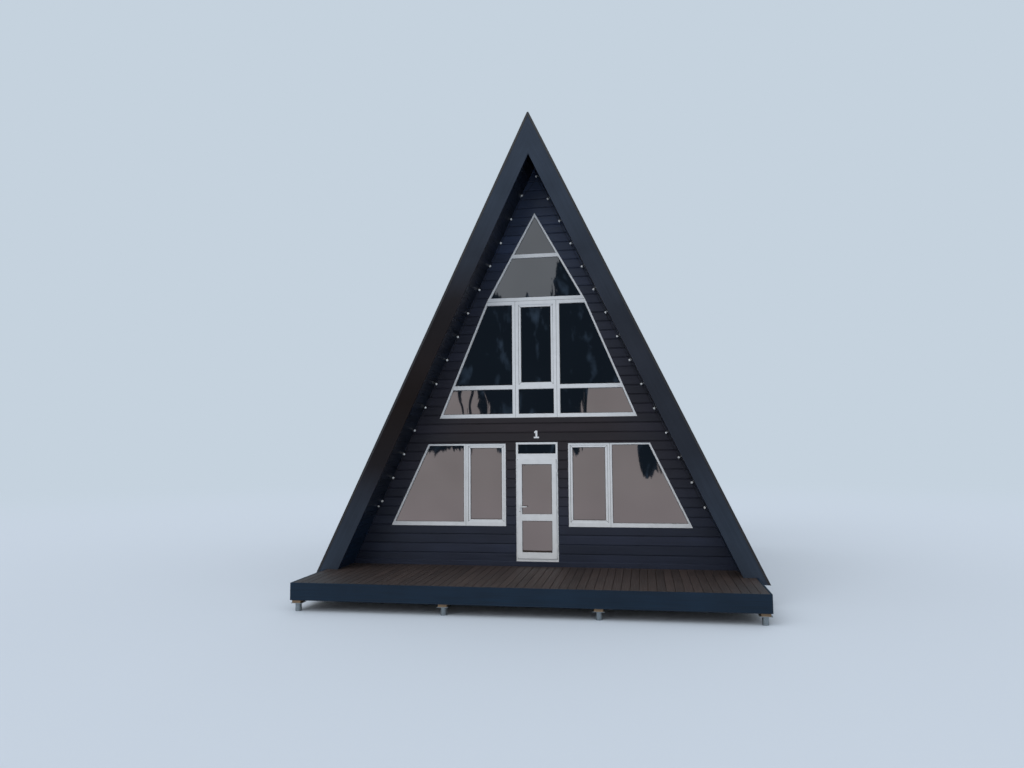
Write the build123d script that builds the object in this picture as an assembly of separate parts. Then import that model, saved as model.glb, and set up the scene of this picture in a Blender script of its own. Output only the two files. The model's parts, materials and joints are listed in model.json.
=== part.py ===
from build123d import *

import os
from math import ceil, cos, degrees, radians, sin, tan

# A-frame cabin on piles, with a terrace in front of its glazed gable. Sizes are in mm.
# X runs to the right of someone facing the front, Y into the house, Z up from the ground.
# While it is built, y = 0 is the outer face of the front wall. The finished pieces are moved
# so that the origin is in the middle of the plan.

# Plan and levels
HOUSE_DEPTH = 7000
EAVE_OVERHANG = 830
TERRACE_DEPTH = 2343
DECK_WIDTH = 8106
DECK_TOP_Z = 500
SILL_RISE = 87
SILL_Z = DECK_TOP_Z + SILL_RISE

# Roof: two slopes built up in layers from the ceiling plane outwards
ROOF_PITCH = 64.7
CEILING_RISE = 7955
CEILING_APEX_Z = SILL_Z + CEILING_RISE
LINING_T = 18
SLOPE_CORE_T = 318
COVERING_T = 30
FLASHING_T = 3
FOOT_DROP = 120
BARGE_T = 25
VERGE_LEG = 90
VERGE_FACE = 40
RIDGE_RADIUS = 22
RIDGE_WING = 200
RIDGE_FLAT = 36

# Platform
RIM_T = 28
RIM_HEIGHT = 300
DECK_BOARD_T = 28
TIE_WIDTH = 50
TIE_HEIGHT = 172
TIE_SPACING = 600
BEARER_WIDTH = 150
BEARER_HEIGHT = 150
BEARER_COUNT = 4
PILE_RADIUS = 54
PILE_PLATE = 200
PILE_PLATE_T = 8
PILE_ROWS = 5

# Walls and floors
WALL_T = 200
WALL_OVER_DOOR = 151
UPPER_FLOOR_T = 200

# White plastic frames
FRAME_SETBACK = 10
FRAME_DEPTH = 70
FRAME_FACE = 38
BOTTOM_BAR = 80
SASH_FACE = 50
SASH_SETBACK = 12
GLASS_T = 24
GLASS_SETBACK = 30
GLASS_BITE = 12
BEAD_SLOPE = 6
SEAM_W = 5
SEAM_DEPTH = 9

# Lower windows, one each side of the door, with a raking outer edge
DOOR_PIER_W = 206
LOWER_WINDOW_BOTTOM = 690
LOWER_WINDOW_HEAD_DROP = 22
LOWER_WINDOW_MARGIN = 437
LOWER_SASH_OPENING_W = 736
LOWER_MULLION_W = 90

# Gable window: a triangle coupled over a steeper-sided lower frame, its lights counted from the
# bottom. Its margins run level, from its outer corners to the ceiling planes.
GABLE_FOOT_MARGIN = 427
GABLE_COUPLING_MARGIN = 294
GABLE_PEAK_DROP = 932
GABLE_SILL_HEIGHT = 144
GABLE_MULLION_X = 352
GABLE_MULLION_W = 133
GABLE_LOW_LIGHT_H = 491
GABLE_LOW_TRANSOM_H = 90
GABLE_MIDDLE_LIGHT_H = 1629
GABLE_MAIN_TRANSOM_H = 154
GABLE_SECOND_LIGHT_H = 808
GABLE_TOP_TRANSOM_H = 85

# Back windows, one a storey
BACK_LOWER_WIDTH = 1400
BACK_LOWER_HEIGHT = 1300
BACK_UPPER_WIDTH = 900
BACK_UPPER_HEIGHT = 1200
BACK_SILL_HEIGHT = 900

# Door
DOOR_FRAME_WIDTH = 840
DOOR_FRAME_HEIGHT = 2349
DOOR_FRAME_FACE = 45
THRESHOLD_H = 75
TRANSOM_LIGHT_H = 179
TRANSOM_H = 135
LEAF_LAP = 10
LEAF_LIP_T = 18
LEAF_BODY_DEPTH = 52
LEAF_SIDE_GAP = 8
LEAF_GAP = 5
STILE_W = 90
BOTTOM_RAIL_H = 120
MIDDLE_RAIL_Z = 796
MIDDLE_RAIL_H = 136

# Door hinges and handles
HINGE_RADIUS = 10
HINGE_LENGTH = 100
HINGE_PIN_RADIUS = 5
HINGE_PIN_CLEARANCE = 0.1
HINGE_PLATE_T = 4
HINGE_PLATE_W = 40
HINGE_PIN_L = 40
HINGE_INSET = 235
HINGE_COUNT = 3
HANDLE_Z = 1079
HANDLE_PLATE_W = 32
HANDLE_PLATE_H = 240
HANDLE_PLATE_T = 9
HANDLE_PLATE_ROUND = 14
HANDLE_NECK_RADIUS = 9
HANDLE_NECK_L = 38
LEVER_LENGTH = 135
LEVER_HEIGHT = 20
LEVER_T = 12
CYLINDER_DROP = 92
CYLINDER_RADIUS = 8.5
CYLINDER_L = 5

# House number over the door
NUMBER_GAP = 80
NUMBER_HEIGHT = 152
NUMBER_BASE_W = 104
NUMBER_BASE_H = 30
NUMBER_STROKE = 38
NUMBER_FLAG = 26
NUMBER_T = 8

# Festoon lights in the corner of the front wall and the ceiling plane
CABLE_RADIUS = 3.5
CABLE_OFFSET = 26
CABLE_BEND = 40
CABLE_TOP_FLAT = 44
CABLE_TOP_BEND = 34
LAMP_STEP = 528
RIGHT_FIRST_LAMP = 139
LEFT_FIRST_LAMP = 570
RIGHT_LAMPS = 15
LEFT_LAMPS = 14
SOCKET_RADIUS = 15
SOCKET_L = 34
BULB_RADIUS = 23.5
BULB_NECK_RADIUS = 13
BULB_TIP_RADIUS = 11
BULB_NECK_L = 15
BULB_BELLY_L = 14
BULB_TIP_L = 14
LAMP_SIDES = 8
CABLE_TAIL = 110
CABLE_DROP = 120
PLUG_RADIUS = 19
PLUG_L = 52

# Clearance between pieces that are fitted into each other
FIT = 0.3

# Values that follow from the sizes above
RAKE = radians(90 - ROOF_PITCH)
ROOF_T = LINING_T + SLOPE_CORE_T + COVERING_T
DECK_HALF = DECK_WIDTH / 2
FOOT_Z = DECK_TOP_Z - FOOT_DROP
LOWER_STOREY = DOOR_FRAME_HEIGHT + WALL_OVER_DOOR
SPLIT_Z = SILL_Z + LOWER_STOREY
UPPER_FLOOR_Z = SPLIT_Z + UPPER_FLOOR_T
EAVE_FRONT = -EAVE_OVERHANG
EAVE_BACK = HOUSE_DEPTH + EAVE_OVERHANG
DECK_FRONT = -TERRACE_DEPTH
DECK_BACK = EAVE_BACK + FLASHING_T
FRAME_BACK = FRAME_SETBACK + FRAME_DEPTH
LOWER_WINDOW_X = DOOR_FRAME_WIDTH / 2 + DOOR_PIER_W
LOWER_MULLION_X = LOWER_WINDOW_X + FRAME_FACE + LOWER_SASH_OPENING_W
LOWER_WINDOW_TOP = DOOR_FRAME_HEIGHT - LOWER_WINDOW_HEAD_DROP
GABLE_WINDOW_Z = UPPER_FLOOR_Z + GABLE_SILL_HEIGHT
GABLE_LOW_Z = GABLE_WINDOW_Z + BOTTOM_BAR + GABLE_LOW_LIGHT_H
GABLE_MAIN_Z = GABLE_LOW_Z + GABLE_LOW_TRANSOM_H + GABLE_MIDDLE_LIGHT_H
GABLE_COUPLING_Z = GABLE_MAIN_Z + GABLE_MAIN_TRANSOM_H / 2
GABLE_TOP_Z = GABLE_MAIN_Z + GABLE_MAIN_TRANSOM_H + GABLE_SECOND_LIGHT_H
LEAF_OPENING_X = DOOR_FRAME_WIDTH / 2 - DOOR_FRAME_FACE
LEAF_OPENING_Z = SILL_Z + THRESHOLD_H
TRANSOM_Z = SILL_Z + DOOR_FRAME_HEIGHT - DOOR_FRAME_FACE - TRANSOM_LIGHT_H - TRANSOM_H
LEAF_FRONT = FRAME_SETBACK - LEAF_GAP - LEAF_LIP_T
LEAF_BACK = LEAF_FRONT + LEAF_LIP_T + LEAF_BODY_DEPTH
LEAF_EDGE_X = LEAF_OPENING_X + LEAF_LAP
LEAF_BOTTOM = LEAF_OPENING_Z - LEAF_LAP
LEAF_TOP = TRANSOM_Z + LEAF_LAP
HINGE_X = LEAF_EDGE_X + LEAF_GAP + HINGE_RADIUS
HINGE_Y = LEAF_FRONT + LEAF_GAP
CABLE_Y = -CABLE_RADIUS - FIT
ORIGIN_SHIFT = -(DECK_FRONT + DECK_BACK) / 2


def apex_z(depth=0):
    """Height of the virtual ridge of the plane that lies this deep outside the ceiling plane."""
    return CEILING_APEX_Z + depth / sin(RAKE)


def half_width(z, depth=0):
    """Half the width between the two roof planes at height z."""
    return (apex_z(depth) - z) * tan(RAKE)


def outline(*points):
    """A flat face in the front view, from (x, z) corners."""
    return make_face(Polyline(*points, close=True))


def panel(x0, x1, z0, z1):
    """A flat rectangle in the front view."""
    return Pos((x0 + x1) / 2, (z0 + z1) / 2) * Rectangle(x1 - x0, z1 - z0)


def carry(face, y_front, y_back):
    """Gives a flat face of the front view its depth, from y_front to y_back."""
    return extrude(front_plane(y_back) * face, amount=y_back - y_front, dir=(0, -1, 0))


def block(x0, x1, y0, y1, z0, z1):
    return Pos((x0 + x1) / 2, (y0 + y1) / 2, (z0 + z1) / 2) * Box(x1 - x0, y1 - y0, z1 - z0)


def mirrored(shape):
    return mirror(shape, about=Plane.YZ)


def under_roof(z_low, z_high, gap=FIT):
    """The stretch of the gable between two heights, just inside the ceiling planes."""
    low, high = half_width(z_low, -gap), half_width(z_high, -gap)
    return outline((-low, z_low), (low, z_low), (high, z_high), (-high, z_high))


def slope_layer(depth, thickness, y_front, y_back):
    """One layer of the right-hand slope. Its foot stands on the deck and laps over its side."""
    outer = depth + thickness
    face = outline(
        (half_width(FOOT_Z, depth), FOOT_Z),
        (half_width(FOOT_Z, outer), FOOT_Z),
        (0, apex_z(outer)),
        (0, apex_z(depth)),
    )
    deck_side = DECK_HALF + FIT
    face -= panel(0, deck_side, FOOT_Z - RIM_HEIGHT, DECK_TOP_Z)
    ridge_cut = apex_z(ROOF_T) - RIDGE_FLAT / 2 / tan(RAKE)
    face -= panel(-RIDGE_FLAT, RIDGE_FLAT, ridge_cut, apex_z(ROOF_T) + RIDGE_FLAT)
    return carry(face, y_front, y_back)


def ridge_foot_z():
    return apex_z(ROOF_T) - RIDGE_WING * cos(RAKE)


def chevron(inner_depth, inner_radius):
    """Band under the rounded ridge, from its outer face in to a given depth."""
    foot = ridge_foot_z()
    outer_depth = ROOF_T + FLASHING_T
    bands = []
    for depth, radius in ((outer_depth, RIDGE_RADIUS), (inner_depth, inner_radius)):
        half = half_width(foot, depth)
        band = outline((-half, foot), (half, foot), (0, apex_z(depth)))
        if radius:
            band = fillet(band.vertices().sort_by(Axis.Y)[-1], radius)
        bands.append(band)
    return bands[0] - bands[1]


def ridge_cap():
    sheet = chevron(ROOF_T, RIDGE_RADIUS - FLASHING_T)
    face = chevron(ROOF_T - VERGE_FACE, 0)
    cap = carry(sheet, EAVE_FRONT - FLASHING_T, EAVE_BACK + FLASHING_T)
    cap += carry(face, EAVE_FRONT - FLASHING_T, EAVE_FRONT)
    cap += carry(face, EAVE_BACK, EAVE_BACK + FLASHING_T)
    return cap


def verge_band(inner_depth, y_front, y_back):
    """Strip of a verge trim between two depths, from the foot up to the ridge cap."""
    outer = ROOF_T + FLASHING_T
    top = ridge_foot_z() - FIT
    face = outline(
        (half_width(FOOT_Z, inner_depth), FOOT_Z),
        (half_width(FOOT_Z, outer), FOOT_Z),
        (half_width(top, outer), top),
        (half_width(top, inner_depth), top),
    )
    return carry(face, y_front, y_back)


def verge_trims():
    """Folded strips over the front and back edges of the right-hand slope."""
    inner_face = ROOF_T - VERGE_FACE
    front = verge_band(ROOF_T, EAVE_FRONT - FLASHING_T, EAVE_FRONT - FLASHING_T + VERGE_LEG)
    front += verge_band(inner_face, EAVE_FRONT - FLASHING_T, EAVE_FRONT)
    back = verge_band(ROOF_T, EAVE_BACK + FLASHING_T - VERGE_LEG, EAVE_BACK + FLASHING_T)
    back += verge_band(inner_face, EAVE_BACK, EAVE_BACK + FLASHING_T)
    return Compound([front, back])


def barge_boards():
    """Front and back barge boards of the right-hand slope."""
    front = slope_layer(0, ROOF_T, EAVE_FRONT, EAVE_FRONT + BARGE_T)
    back = slope_layer(0, ROOF_T, EAVE_BACK - BARGE_T, EAVE_BACK)
    return Compound([front, back])


def roof_nodes():
    front, back = EAVE_FRONT + BARGE_T, EAVE_BACK - BARGE_T
    right = {
        "soffit_lining": slope_layer(0, LINING_T, front, back),
        "roof_slope": slope_layer(LINING_T, SLOPE_CORE_T, front, back),
        "roof_covering": slope_layer(LINING_T + SLOPE_CORE_T, COVERING_T, front, back),
        "barge_boards": barge_boards(),
        "verge_trims": verge_trims(),
    }
    nodes = {"ridge_cap": ridge_cap()}
    for name, shape in right.items():
        nodes[name + "_right"] = shape
        nodes[name + "_left"] = mirrored(shape)
    return nodes


def rim_boards():
    """Boards round the edge of the platform: the two sides, then the two ends between them."""
    z0 = DECK_TOP_Z - RIM_HEIGHT
    inner = DECK_HALF - RIM_T
    side = block(inner, DECK_HALF, DECK_FRONT, DECK_BACK, z0, DECK_TOP_Z)
    front = block(-inner, inner, DECK_FRONT, DECK_FRONT + RIM_T, z0, DECK_TOP_Z)
    back = block(-inner, inner, DECK_BACK - RIM_T, DECK_BACK, z0, DECK_TOP_Z)
    return Compound([side, mirrored(side)]), Compound([front, back])


def spread(first, last, count):
    """Evenly spaced places from first to last."""
    return [first + (last - first) * i / (count - 1) for i in range(count)]


def cross_ties():
    z1 = DECK_TOP_Z - DECK_BOARD_T
    half = DECK_HALF - RIM_T
    first = DECK_FRONT + RIM_T + TIE_WIDTH / 2
    last = DECK_BACK - RIM_T - TIE_WIDTH / 2
    count = ceil((last - first) / TIE_SPACING) + 1
    ties = []
    for y in spread(first, last, count):
        ties.append(block(-half, half, y - TIE_WIDTH / 2, y + TIE_WIDTH / 2, z1 - TIE_HEIGHT, z1))
    return Compound(ties)


def bearer_places():
    edge = DECK_HALF - RIM_T - BEARER_WIDTH / 2
    return spread(-edge, edge, BEARER_COUNT)


def bearer_top():
    return DECK_TOP_Z - DECK_BOARD_T - TIE_HEIGHT


def bearers():
    z1 = bearer_top()
    y0, y1 = DECK_FRONT + RIM_T, DECK_BACK - RIM_T
    w = BEARER_WIDTH / 2
    return Compound([block(x - w, x + w, y0, y1, z1 - BEARER_HEIGHT, z1) for x in bearer_places()])


def piles():
    """Steel tubes with a head plate, from the ground up to the bearers."""
    top = bearer_top() - BEARER_HEIGHT
    tube_l = top - PILE_PLATE_T
    pile = Pos(0, 0, tube_l / 2) * Cylinder(PILE_RADIUS, tube_l)
    pile += Pos(0, 0, top - PILE_PLATE_T / 2) * Box(PILE_PLATE, PILE_PLATE, PILE_PLATE_T)
    edge = RIM_T + PILE_PLATE / 2
    rows = spread(DECK_FRONT + edge, DECK_BACK - edge, PILE_ROWS)
    return Compound([Pos(x, y, 0) * pile for x in bearer_places() for y in rows])


def deck_boards():
    """Terrace deck in front of the house, and the strip under the back overhang."""
    z0 = DECK_TOP_Z - DECK_BOARD_T
    half = DECK_HALF - RIM_T
    terrace = block(-half, half, DECK_FRONT + RIM_T, 0, z0, DECK_TOP_Z)
    strip = block(-half, half, HOUSE_DEPTH, DECK_BACK - RIM_T, z0, DECK_TOP_Z)
    return Compound([terrace, strip])


def ground_floor():
    """Floor of the house: full width in the deck, then up to the sill between the slopes."""
    flange = panel(RIM_T - DECK_HALF, DECK_HALF - RIM_T, DECK_TOP_Z - DECK_BOARD_T, DECK_TOP_Z)
    return carry(flange + under_roof(DECK_TOP_Z, SILL_Z), 0, HOUSE_DEPTH)


def upper_floor():
    slab = under_roof(SPLIT_Z, UPPER_FLOOR_Z)
    return carry(slab, WALL_T + FIT, HOUSE_DEPTH - WALL_T - FIT)


def lower_window_outline():
    """Right-hand lower window, seen from the front."""
    z0, z1 = SILL_Z + LOWER_WINDOW_BOTTOM, SILL_Z + LOWER_WINDOW_TOP
    x0 = LOWER_WINDOW_X
    return outline(
        (x0, z0),
        (half_width(z0) - LOWER_WINDOW_MARGIN, z0),
        (half_width(z1) - LOWER_WINDOW_MARGIN, z1),
        (x0, z1),
    )


def coupling_half_width():
    """Half the width of the gable window where its triangle stands on the lower frame."""
    return half_width(GABLE_COUPLING_Z) - GABLE_COUPLING_MARGIN


def gable_window_outline():
    foot = half_width(GABLE_WINDOW_Z) - GABLE_FOOT_MARGIN
    side = coupling_half_width()
    return outline(
        (-foot, GABLE_WINDOW_Z),
        (foot, GABLE_WINDOW_Z),
        (side, GABLE_COUPLING_Z),
        (0, CEILING_APEX_Z - GABLE_PEAK_DROP),
        (-side, GABLE_COUPLING_Z),
    )


def back_window_outlines():
    lower_z = SILL_Z + BACK_SILL_HEIGHT
    upper_z = UPPER_FLOOR_Z + BACK_SILL_HEIGHT
    lower_half, upper_half = BACK_LOWER_WIDTH / 2, BACK_UPPER_WIDTH / 2
    lower = panel(-lower_half, lower_half, lower_z, lower_z + BACK_LOWER_HEIGHT)
    upper = panel(-upper_half, upper_half, upper_z, upper_z + BACK_UPPER_HEIGHT)
    return lower, upper


def grown(face, by):
    """A flat outline moved outwards, or inwards where by is negative, with sharp corners kept."""
    return offset(face, by, kind=Kind.INTERSECTION)


def front_wall_nodes():
    """The lower front wall in three pieces round the doorway, and the gable above it."""
    jamb_x = DOOR_FRAME_WIDTH / 2 + FIT
    head_z = SILL_Z + DOOR_FRAME_HEIGHT + FIT
    storey = under_roof(SILL_Z, SPLIT_Z)
    wide = half_width(SILL_Z)
    right = storey & panel(jamb_x, wide, SILL_Z, SPLIT_Z)
    right -= grown(lower_window_outline(), FIT)
    over_door = panel(-jamb_x, jamb_x, head_z, SPLIT_Z)
    gable = outline(
        (-half_width(SPLIT_Z, -FIT), SPLIT_Z),
        (half_width(SPLIT_Z, -FIT), SPLIT_Z),
        (0, apex_z(-FIT)),
    )
    wall_right = carry(right, 0, WALL_T)
    return {
        "front_wall_right": wall_right,
        "front_wall_left": mirrored(wall_right),
        "front_wall_over_door": carry(over_door, 0, WALL_T),
        "front_gable_wall": carry(gable - grown(gable_window_outline(), FIT), 0, WALL_T),
    }


def back_wall_nodes():
    lower_window, upper_window = back_window_outlines()
    y0, y1 = HOUSE_DEPTH - WALL_T, HOUSE_DEPTH
    lower = under_roof(SILL_Z, SPLIT_Z) - grown(lower_window, FIT)
    half = half_width(SPLIT_Z, -FIT)
    gable = outline((-half, SPLIT_Z), (half, SPLIT_Z), (0, apex_z(-FIT)))
    return {
        "back_wall": carry(lower, y0, y1),
        "back_gable_wall": carry(gable - grown(upper_window, FIT), y0, y1),
    }


def front_plane(y):
    """The plane of the front view at depth y, with the face's own x and z kept."""
    return Plane(origin=(0, y, 0), x_dir=(1, 0, 0), z_dir=(0, -1, 0))


def glazed(body, lights, y_front, y_back):
    """Cuts each light: sloped beads in to the pane, a groove that holds it, and out at the back."""
    glass_y = y_front + GLASS_SETBACK
    for light in lights:
        mouth = front_plane(y_front) * grown(light, BEAD_SLOPE)
        body -= loft([mouth, front_plane(glass_y) * light])
        body -= carry(light, glass_y, y_back)
        body -= carry(grown(light, GLASS_BITE + FIT), glass_y - FIT, glass_y + GLASS_T + FIT)
    return body


def glazed_frame(face, lights, y_front, depth):
    """A frame of the given outline, glazed round each of its lights."""
    return glazed(carry(face, y_front, y_front + depth), lights, y_front, y_front + depth)


def seam(x0, x1, z0, z1):
    """The open joint where two coupled frames meet, cut into their front faces."""
    return carry(panel(x0, x1, z0, z1), FRAME_SETBACK, FRAME_SETBACK + SEAM_DEPTH)


def upright_seam(x, z0, z1):
    return seam(x - SEAM_W / 2, x + SEAM_W / 2, z0, z1)


def panes(lights, y_front):
    glass_y = y_front + GLASS_SETBACK
    return [carry(grown(light, GLASS_BITE), glass_y, glass_y + GLASS_T) for light in lights]


def sash_light(opening):
    return grown(opening, -FIT - SASH_FACE)


def sash(opening):
    """A casement sash that fills its opening in the frame."""
    y0 = FRAME_SETBACK + SASH_SETBACK
    return glazed_frame(grown(opening, -FIT), [sash_light(opening)], y0, FRAME_DEPTH - SASH_SETBACK)


def gable_window_parts():
    """Lights of the big window from the top down, and the opening of its casement."""
    whole = gable_window_outline()
    inside = grown(whole, -FRAME_FACE)
    wide = half_width(GABLE_WINDOW_Z)
    mullion_x, side_x = GABLE_MULLION_X, GABLE_MULLION_X + GABLE_MULLION_W
    low_z0, middle_z0 = GABLE_WINDOW_Z + BOTTOM_BAR, GABLE_LOW_Z + GABLE_LOW_TRANSOM_H
    top = inside & panel(-wide, wide, GABLE_TOP_Z + GABLE_TOP_TRANSOM_H, apex_z())
    second = inside & panel(-wide, wide, GABLE_MAIN_Z + GABLE_MAIN_TRANSOM_H, GABLE_TOP_Z)
    opening = panel(-mullion_x, mullion_x, middle_z0, GABLE_MAIN_Z)
    side = inside & panel(side_x, wide, middle_z0, GABLE_MAIN_Z)
    low_side = inside & panel(side_x, wide, low_z0, GABLE_LOW_Z)
    low_middle = panel(-mullion_x, mullion_x, low_z0, GABLE_LOW_Z)
    lights = [top, second, side, mirrored(side), low_side, mirrored(low_side), low_middle]
    return whole, lights, opening


def gable_window_seams():
    """Joints of the triangle over the lower frames, and of the middle frame and its neighbours."""
    level, half = GABLE_COUPLING_Z, coupling_half_width()
    upright = upright_seam(GABLE_MULLION_X + GABLE_MULLION_W / 2, GABLE_WINDOW_Z, level)
    across = seam(-half, half, level - SEAM_W / 2, level + SEAM_W / 2)
    return [across, upright, mirrored(upright)]


def gable_window_nodes():
    whole, lights, opening = gable_window_parts()
    frame = glazed_frame(whole, lights, FRAME_SETBACK, FRAME_DEPTH)
    frame -= carry(opening, FRAME_SETBACK, FRAME_BACK)
    for joint in gable_window_seams():
        frame -= joint
    glass = panes(lights, FRAME_SETBACK)
    glass += panes([sash_light(opening)], FRAME_SETBACK + SASH_SETBACK)
    return {
        "gable_window_frame": frame,
        "gable_window_sash": sash(opening),
        "gable_window_glass": Compound(glass),
    }


def lower_window_nodes():
    whole = lower_window_outline()
    inside = grown(whole, -FRAME_FACE)
    z0 = SILL_Z + LOWER_WINDOW_BOTTOM + BOTTOM_BAR
    z1 = SILL_Z + LOWER_WINDOW_TOP - FRAME_FACE
    opening = panel(LOWER_WINDOW_X + FRAME_FACE, LOWER_MULLION_X, z0, z1)
    fixed = inside & panel(LOWER_MULLION_X + LOWER_MULLION_W, half_width(z0), z0, z1)
    frame = glazed_frame(whole, [fixed], FRAME_SETBACK, FRAME_DEPTH)
    frame -= carry(opening, FRAME_SETBACK, FRAME_BACK)
    seam_x = LOWER_MULLION_X + LOWER_MULLION_W / 2
    frame -= upright_seam(seam_x, SILL_Z + LOWER_WINDOW_BOTTOM, SILL_Z + LOWER_WINDOW_TOP)
    glass = panes([fixed], FRAME_SETBACK) + panes([sash_light(opening)], FRAME_SETBACK + SASH_SETBACK)
    sash_right = sash(opening)
    glass_right = Compound(glass)
    return {
        "lower_window_frame_right": frame,
        "lower_window_frame_left": mirrored(frame),
        "lower_window_sash_right": sash_right,
        "lower_window_sash_left": mirrored(sash_right),
        "lower_window_glass_right": glass_right,
        "lower_window_glass_left": mirrored(glass_right),
    }


def turned_back(shape):
    """A piece of the front wall, turned round to face out of the back wall."""
    return Pos(0, HOUSE_DEPTH, 0) * Rot(0, 0, 180) * shape


def back_window_nodes():
    """Plain fixed windows, set back from the back face as the front ones are."""
    frames, glass = [], []
    for face in back_window_outlines():
        light = grown(face, -FRAME_FACE)
        frames.append(turned_back(glazed_frame(face, [light], FRAME_SETBACK, FRAME_DEPTH)))
        glass += [turned_back(pane) for pane in panes([light], FRAME_SETBACK)]
    return {
        "back_window_frames": Compound(frames),
        "back_window_glass": Compound(glass),
    }


def door_openings():
    """Clear opening of the door frame for the leaf, and the transom light over it."""
    x1 = LEAF_OPENING_X
    light_z = TRANSOM_Z + TRANSOM_H
    leaf = panel(-x1, x1, LEAF_OPENING_Z, TRANSOM_Z)
    light = panel(-x1, x1, light_z, light_z + TRANSOM_LIGHT_H)
    return leaf, light


def door_frame_nodes():
    opening, light = door_openings()
    half = DOOR_FRAME_WIDTH / 2
    whole = panel(-half, half, SILL_Z, SILL_Z + DOOR_FRAME_HEIGHT)
    frame = glazed_frame(whole, [light], FRAME_SETBACK, FRAME_DEPTH)
    frame -= carry(opening, FRAME_SETBACK, FRAME_BACK)
    return {
        "door_frame": frame,
        "transom_glass": panes([light], FRAME_SETBACK)[0],
    }


def leaf_lights():
    x1 = LEAF_EDGE_X - STILE_W
    rail_z = SILL_Z + MIDDLE_RAIL_Z
    upper = panel(-x1, x1, rail_z + MIDDLE_RAIL_H, LEAF_TOP - STILE_W)
    lower = panel(-x1, x1, LEAF_BOTTOM + BOTTOM_RAIL_H, rail_z)
    return upper, lower


def door_leaf_nodes():
    """The leaf: a body inside the frame and a lip that laps over the frame's face."""
    lights = leaf_lights()
    body_x = LEAF_OPENING_X - LEAF_SIDE_GAP
    lip = panel(-LEAF_EDGE_X, LEAF_EDGE_X, LEAF_BOTTOM, LEAF_TOP)
    body = panel(-body_x, body_x, LEAF_OPENING_Z + LEAF_GAP, TRANSOM_Z - LEAF_GAP)
    leaf = carry(lip, LEAF_FRONT, LEAF_FRONT + LEAF_LIP_T)
    leaf += carry(body, LEAF_FRONT + LEAF_LIP_T, LEAF_BACK)
    upper, lower = panes(lights, LEAF_FRONT)
    return {
        "door_leaf": glazed(leaf, lights, LEAF_FRONT, LEAF_BACK),
        "door_glass": upper,
        "door_lower_pane": lower,
    }


def hinge_nodes():
    """Barrel hinges: the frame half below with its pin, the leaf half turning on top of it."""
    frame_halves, leaf_halves = [], []
    half = HINGE_LENGTH / 2
    pin_l = HINGE_PIN_L
    for z in spread(LEAF_BOTTOM + HINGE_INSET, LEAF_TOP - HINGE_INSET, HINGE_COUNT):
        barrel = Pos(HINGE_X, HINGE_Y, z - half / 2) * Cylinder(HINGE_RADIUS, half)
        web = block(HINGE_X, DOOR_FRAME_WIDTH / 2, HINGE_Y, FRAME_SETBACK, z - half, z)
        pin = Pos(HINGE_X, HINGE_Y, z + pin_l / 2) * Cylinder(HINGE_PIN_RADIUS, pin_l)
        frame_halves.append(barrel + web + pin)
        z0 = z + FIT
        knuckle = Pos(HINGE_X, HINGE_Y, z0 + half / 2) * Cylinder(HINGE_RADIUS, half)
        plate_y = LEAF_FRONT - HINGE_PLATE_T
        knuckle += block(LEAF_EDGE_X - HINGE_PLATE_W, HINGE_X, plate_y, LEAF_FRONT, z0, z0 + half)
        bore_r = HINGE_PIN_RADIUS + HINGE_PIN_CLEARANCE
        knuckle -= Pos(HINGE_X, HINGE_Y, z0 + pin_l / 2) * Cylinder(bore_r, pin_l)
        leaf_halves.append(knuckle)
    return {
        "hinge_frame_halves": Compound(frame_halves),
        "hinge_leaf_halves": Compound(leaf_halves),
    }


def lever_handle(y_face, out):
    """Back plate, neck, lever and lock cylinder on one face; out is -1 outside and 1 inside."""
    x = -LEAF_EDGE_X + STILE_W / 2
    z = SILL_Z + HANDLE_Z
    plate_y = y_face + out * HANDLE_PLATE_T
    neck_y = plate_y + out * HANDLE_NECK_L
    lever_y = neck_y + out * LEVER_T
    w, h = HANDLE_PLATE_W / 2, HANDLE_PLATE_H / 2
    centre_z = z - CYLINDER_DROP / 2
    lo, hi = sorted((y_face, plate_y))
    plate = carry(Pos(x, centre_z) * RectangleRounded(2 * w, 2 * h, HANDLE_PLATE_ROUND), lo, hi)
    lo, hi = sorted((plate_y, neck_y))
    neck = carry(Pos(x, z) * Circle(HANDLE_NECK_RADIUS), lo, hi)
    lo, hi = sorted((neck_y, lever_y))
    lever_face = Pos(x + LEVER_LENGTH / 2, z) * SlotCenterToCenter(LEVER_LENGTH, LEVER_HEIGHT)
    lever = carry(lever_face, lo, hi)
    lo, hi = sorted((plate_y, plate_y + out * CYLINDER_L))
    lock = carry(Pos(x, z - CYLINDER_DROP) * Circle(CYLINDER_RADIUS), lo, hi)
    return plate + neck + lever + lock


def door_handles():
    return Compound([lever_handle(LEAF_FRONT, -1), lever_handle(LEAF_BACK, 1)])


def house_number():
    """A plain upright one with a flag and a foot."""
    z0 = SILL_Z + DOOR_FRAME_HEIGHT + NUMBER_GAP
    z1 = z0 + NUMBER_HEIGHT
    s, half, flag = NUMBER_STROKE / 2, NUMBER_BASE_W / 2, NUMBER_FLAG
    tip_x = -s - flag
    face = panel(-half, half, z0, z0 + NUMBER_BASE_H) + panel(-s, s, z0, z1)
    face += outline((s, z1), (-s, z1), (tip_x, z1 - flag), (tip_x, z1 - 2 * flag), (s, z1 - flag))
    return carry(face, -NUMBER_T, 0)


def cable_point(distance, side):
    """A point on the cable's line, this far down one slope from the apex of that line."""
    top = apex_z(-CABLE_OFFSET)
    return side * distance * sin(RAKE), top - distance * cos(RAKE)


def lamp_places():
    places = [cable_point(RIGHT_FIRST_LAMP + LAMP_STEP * i, 1) for i in range(RIGHT_LAMPS)]
    places += [cable_point(LEFT_FIRST_LAMP + LAMP_STEP * i, -1) for i in range(LEFT_LAMPS)]
    return places


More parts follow.
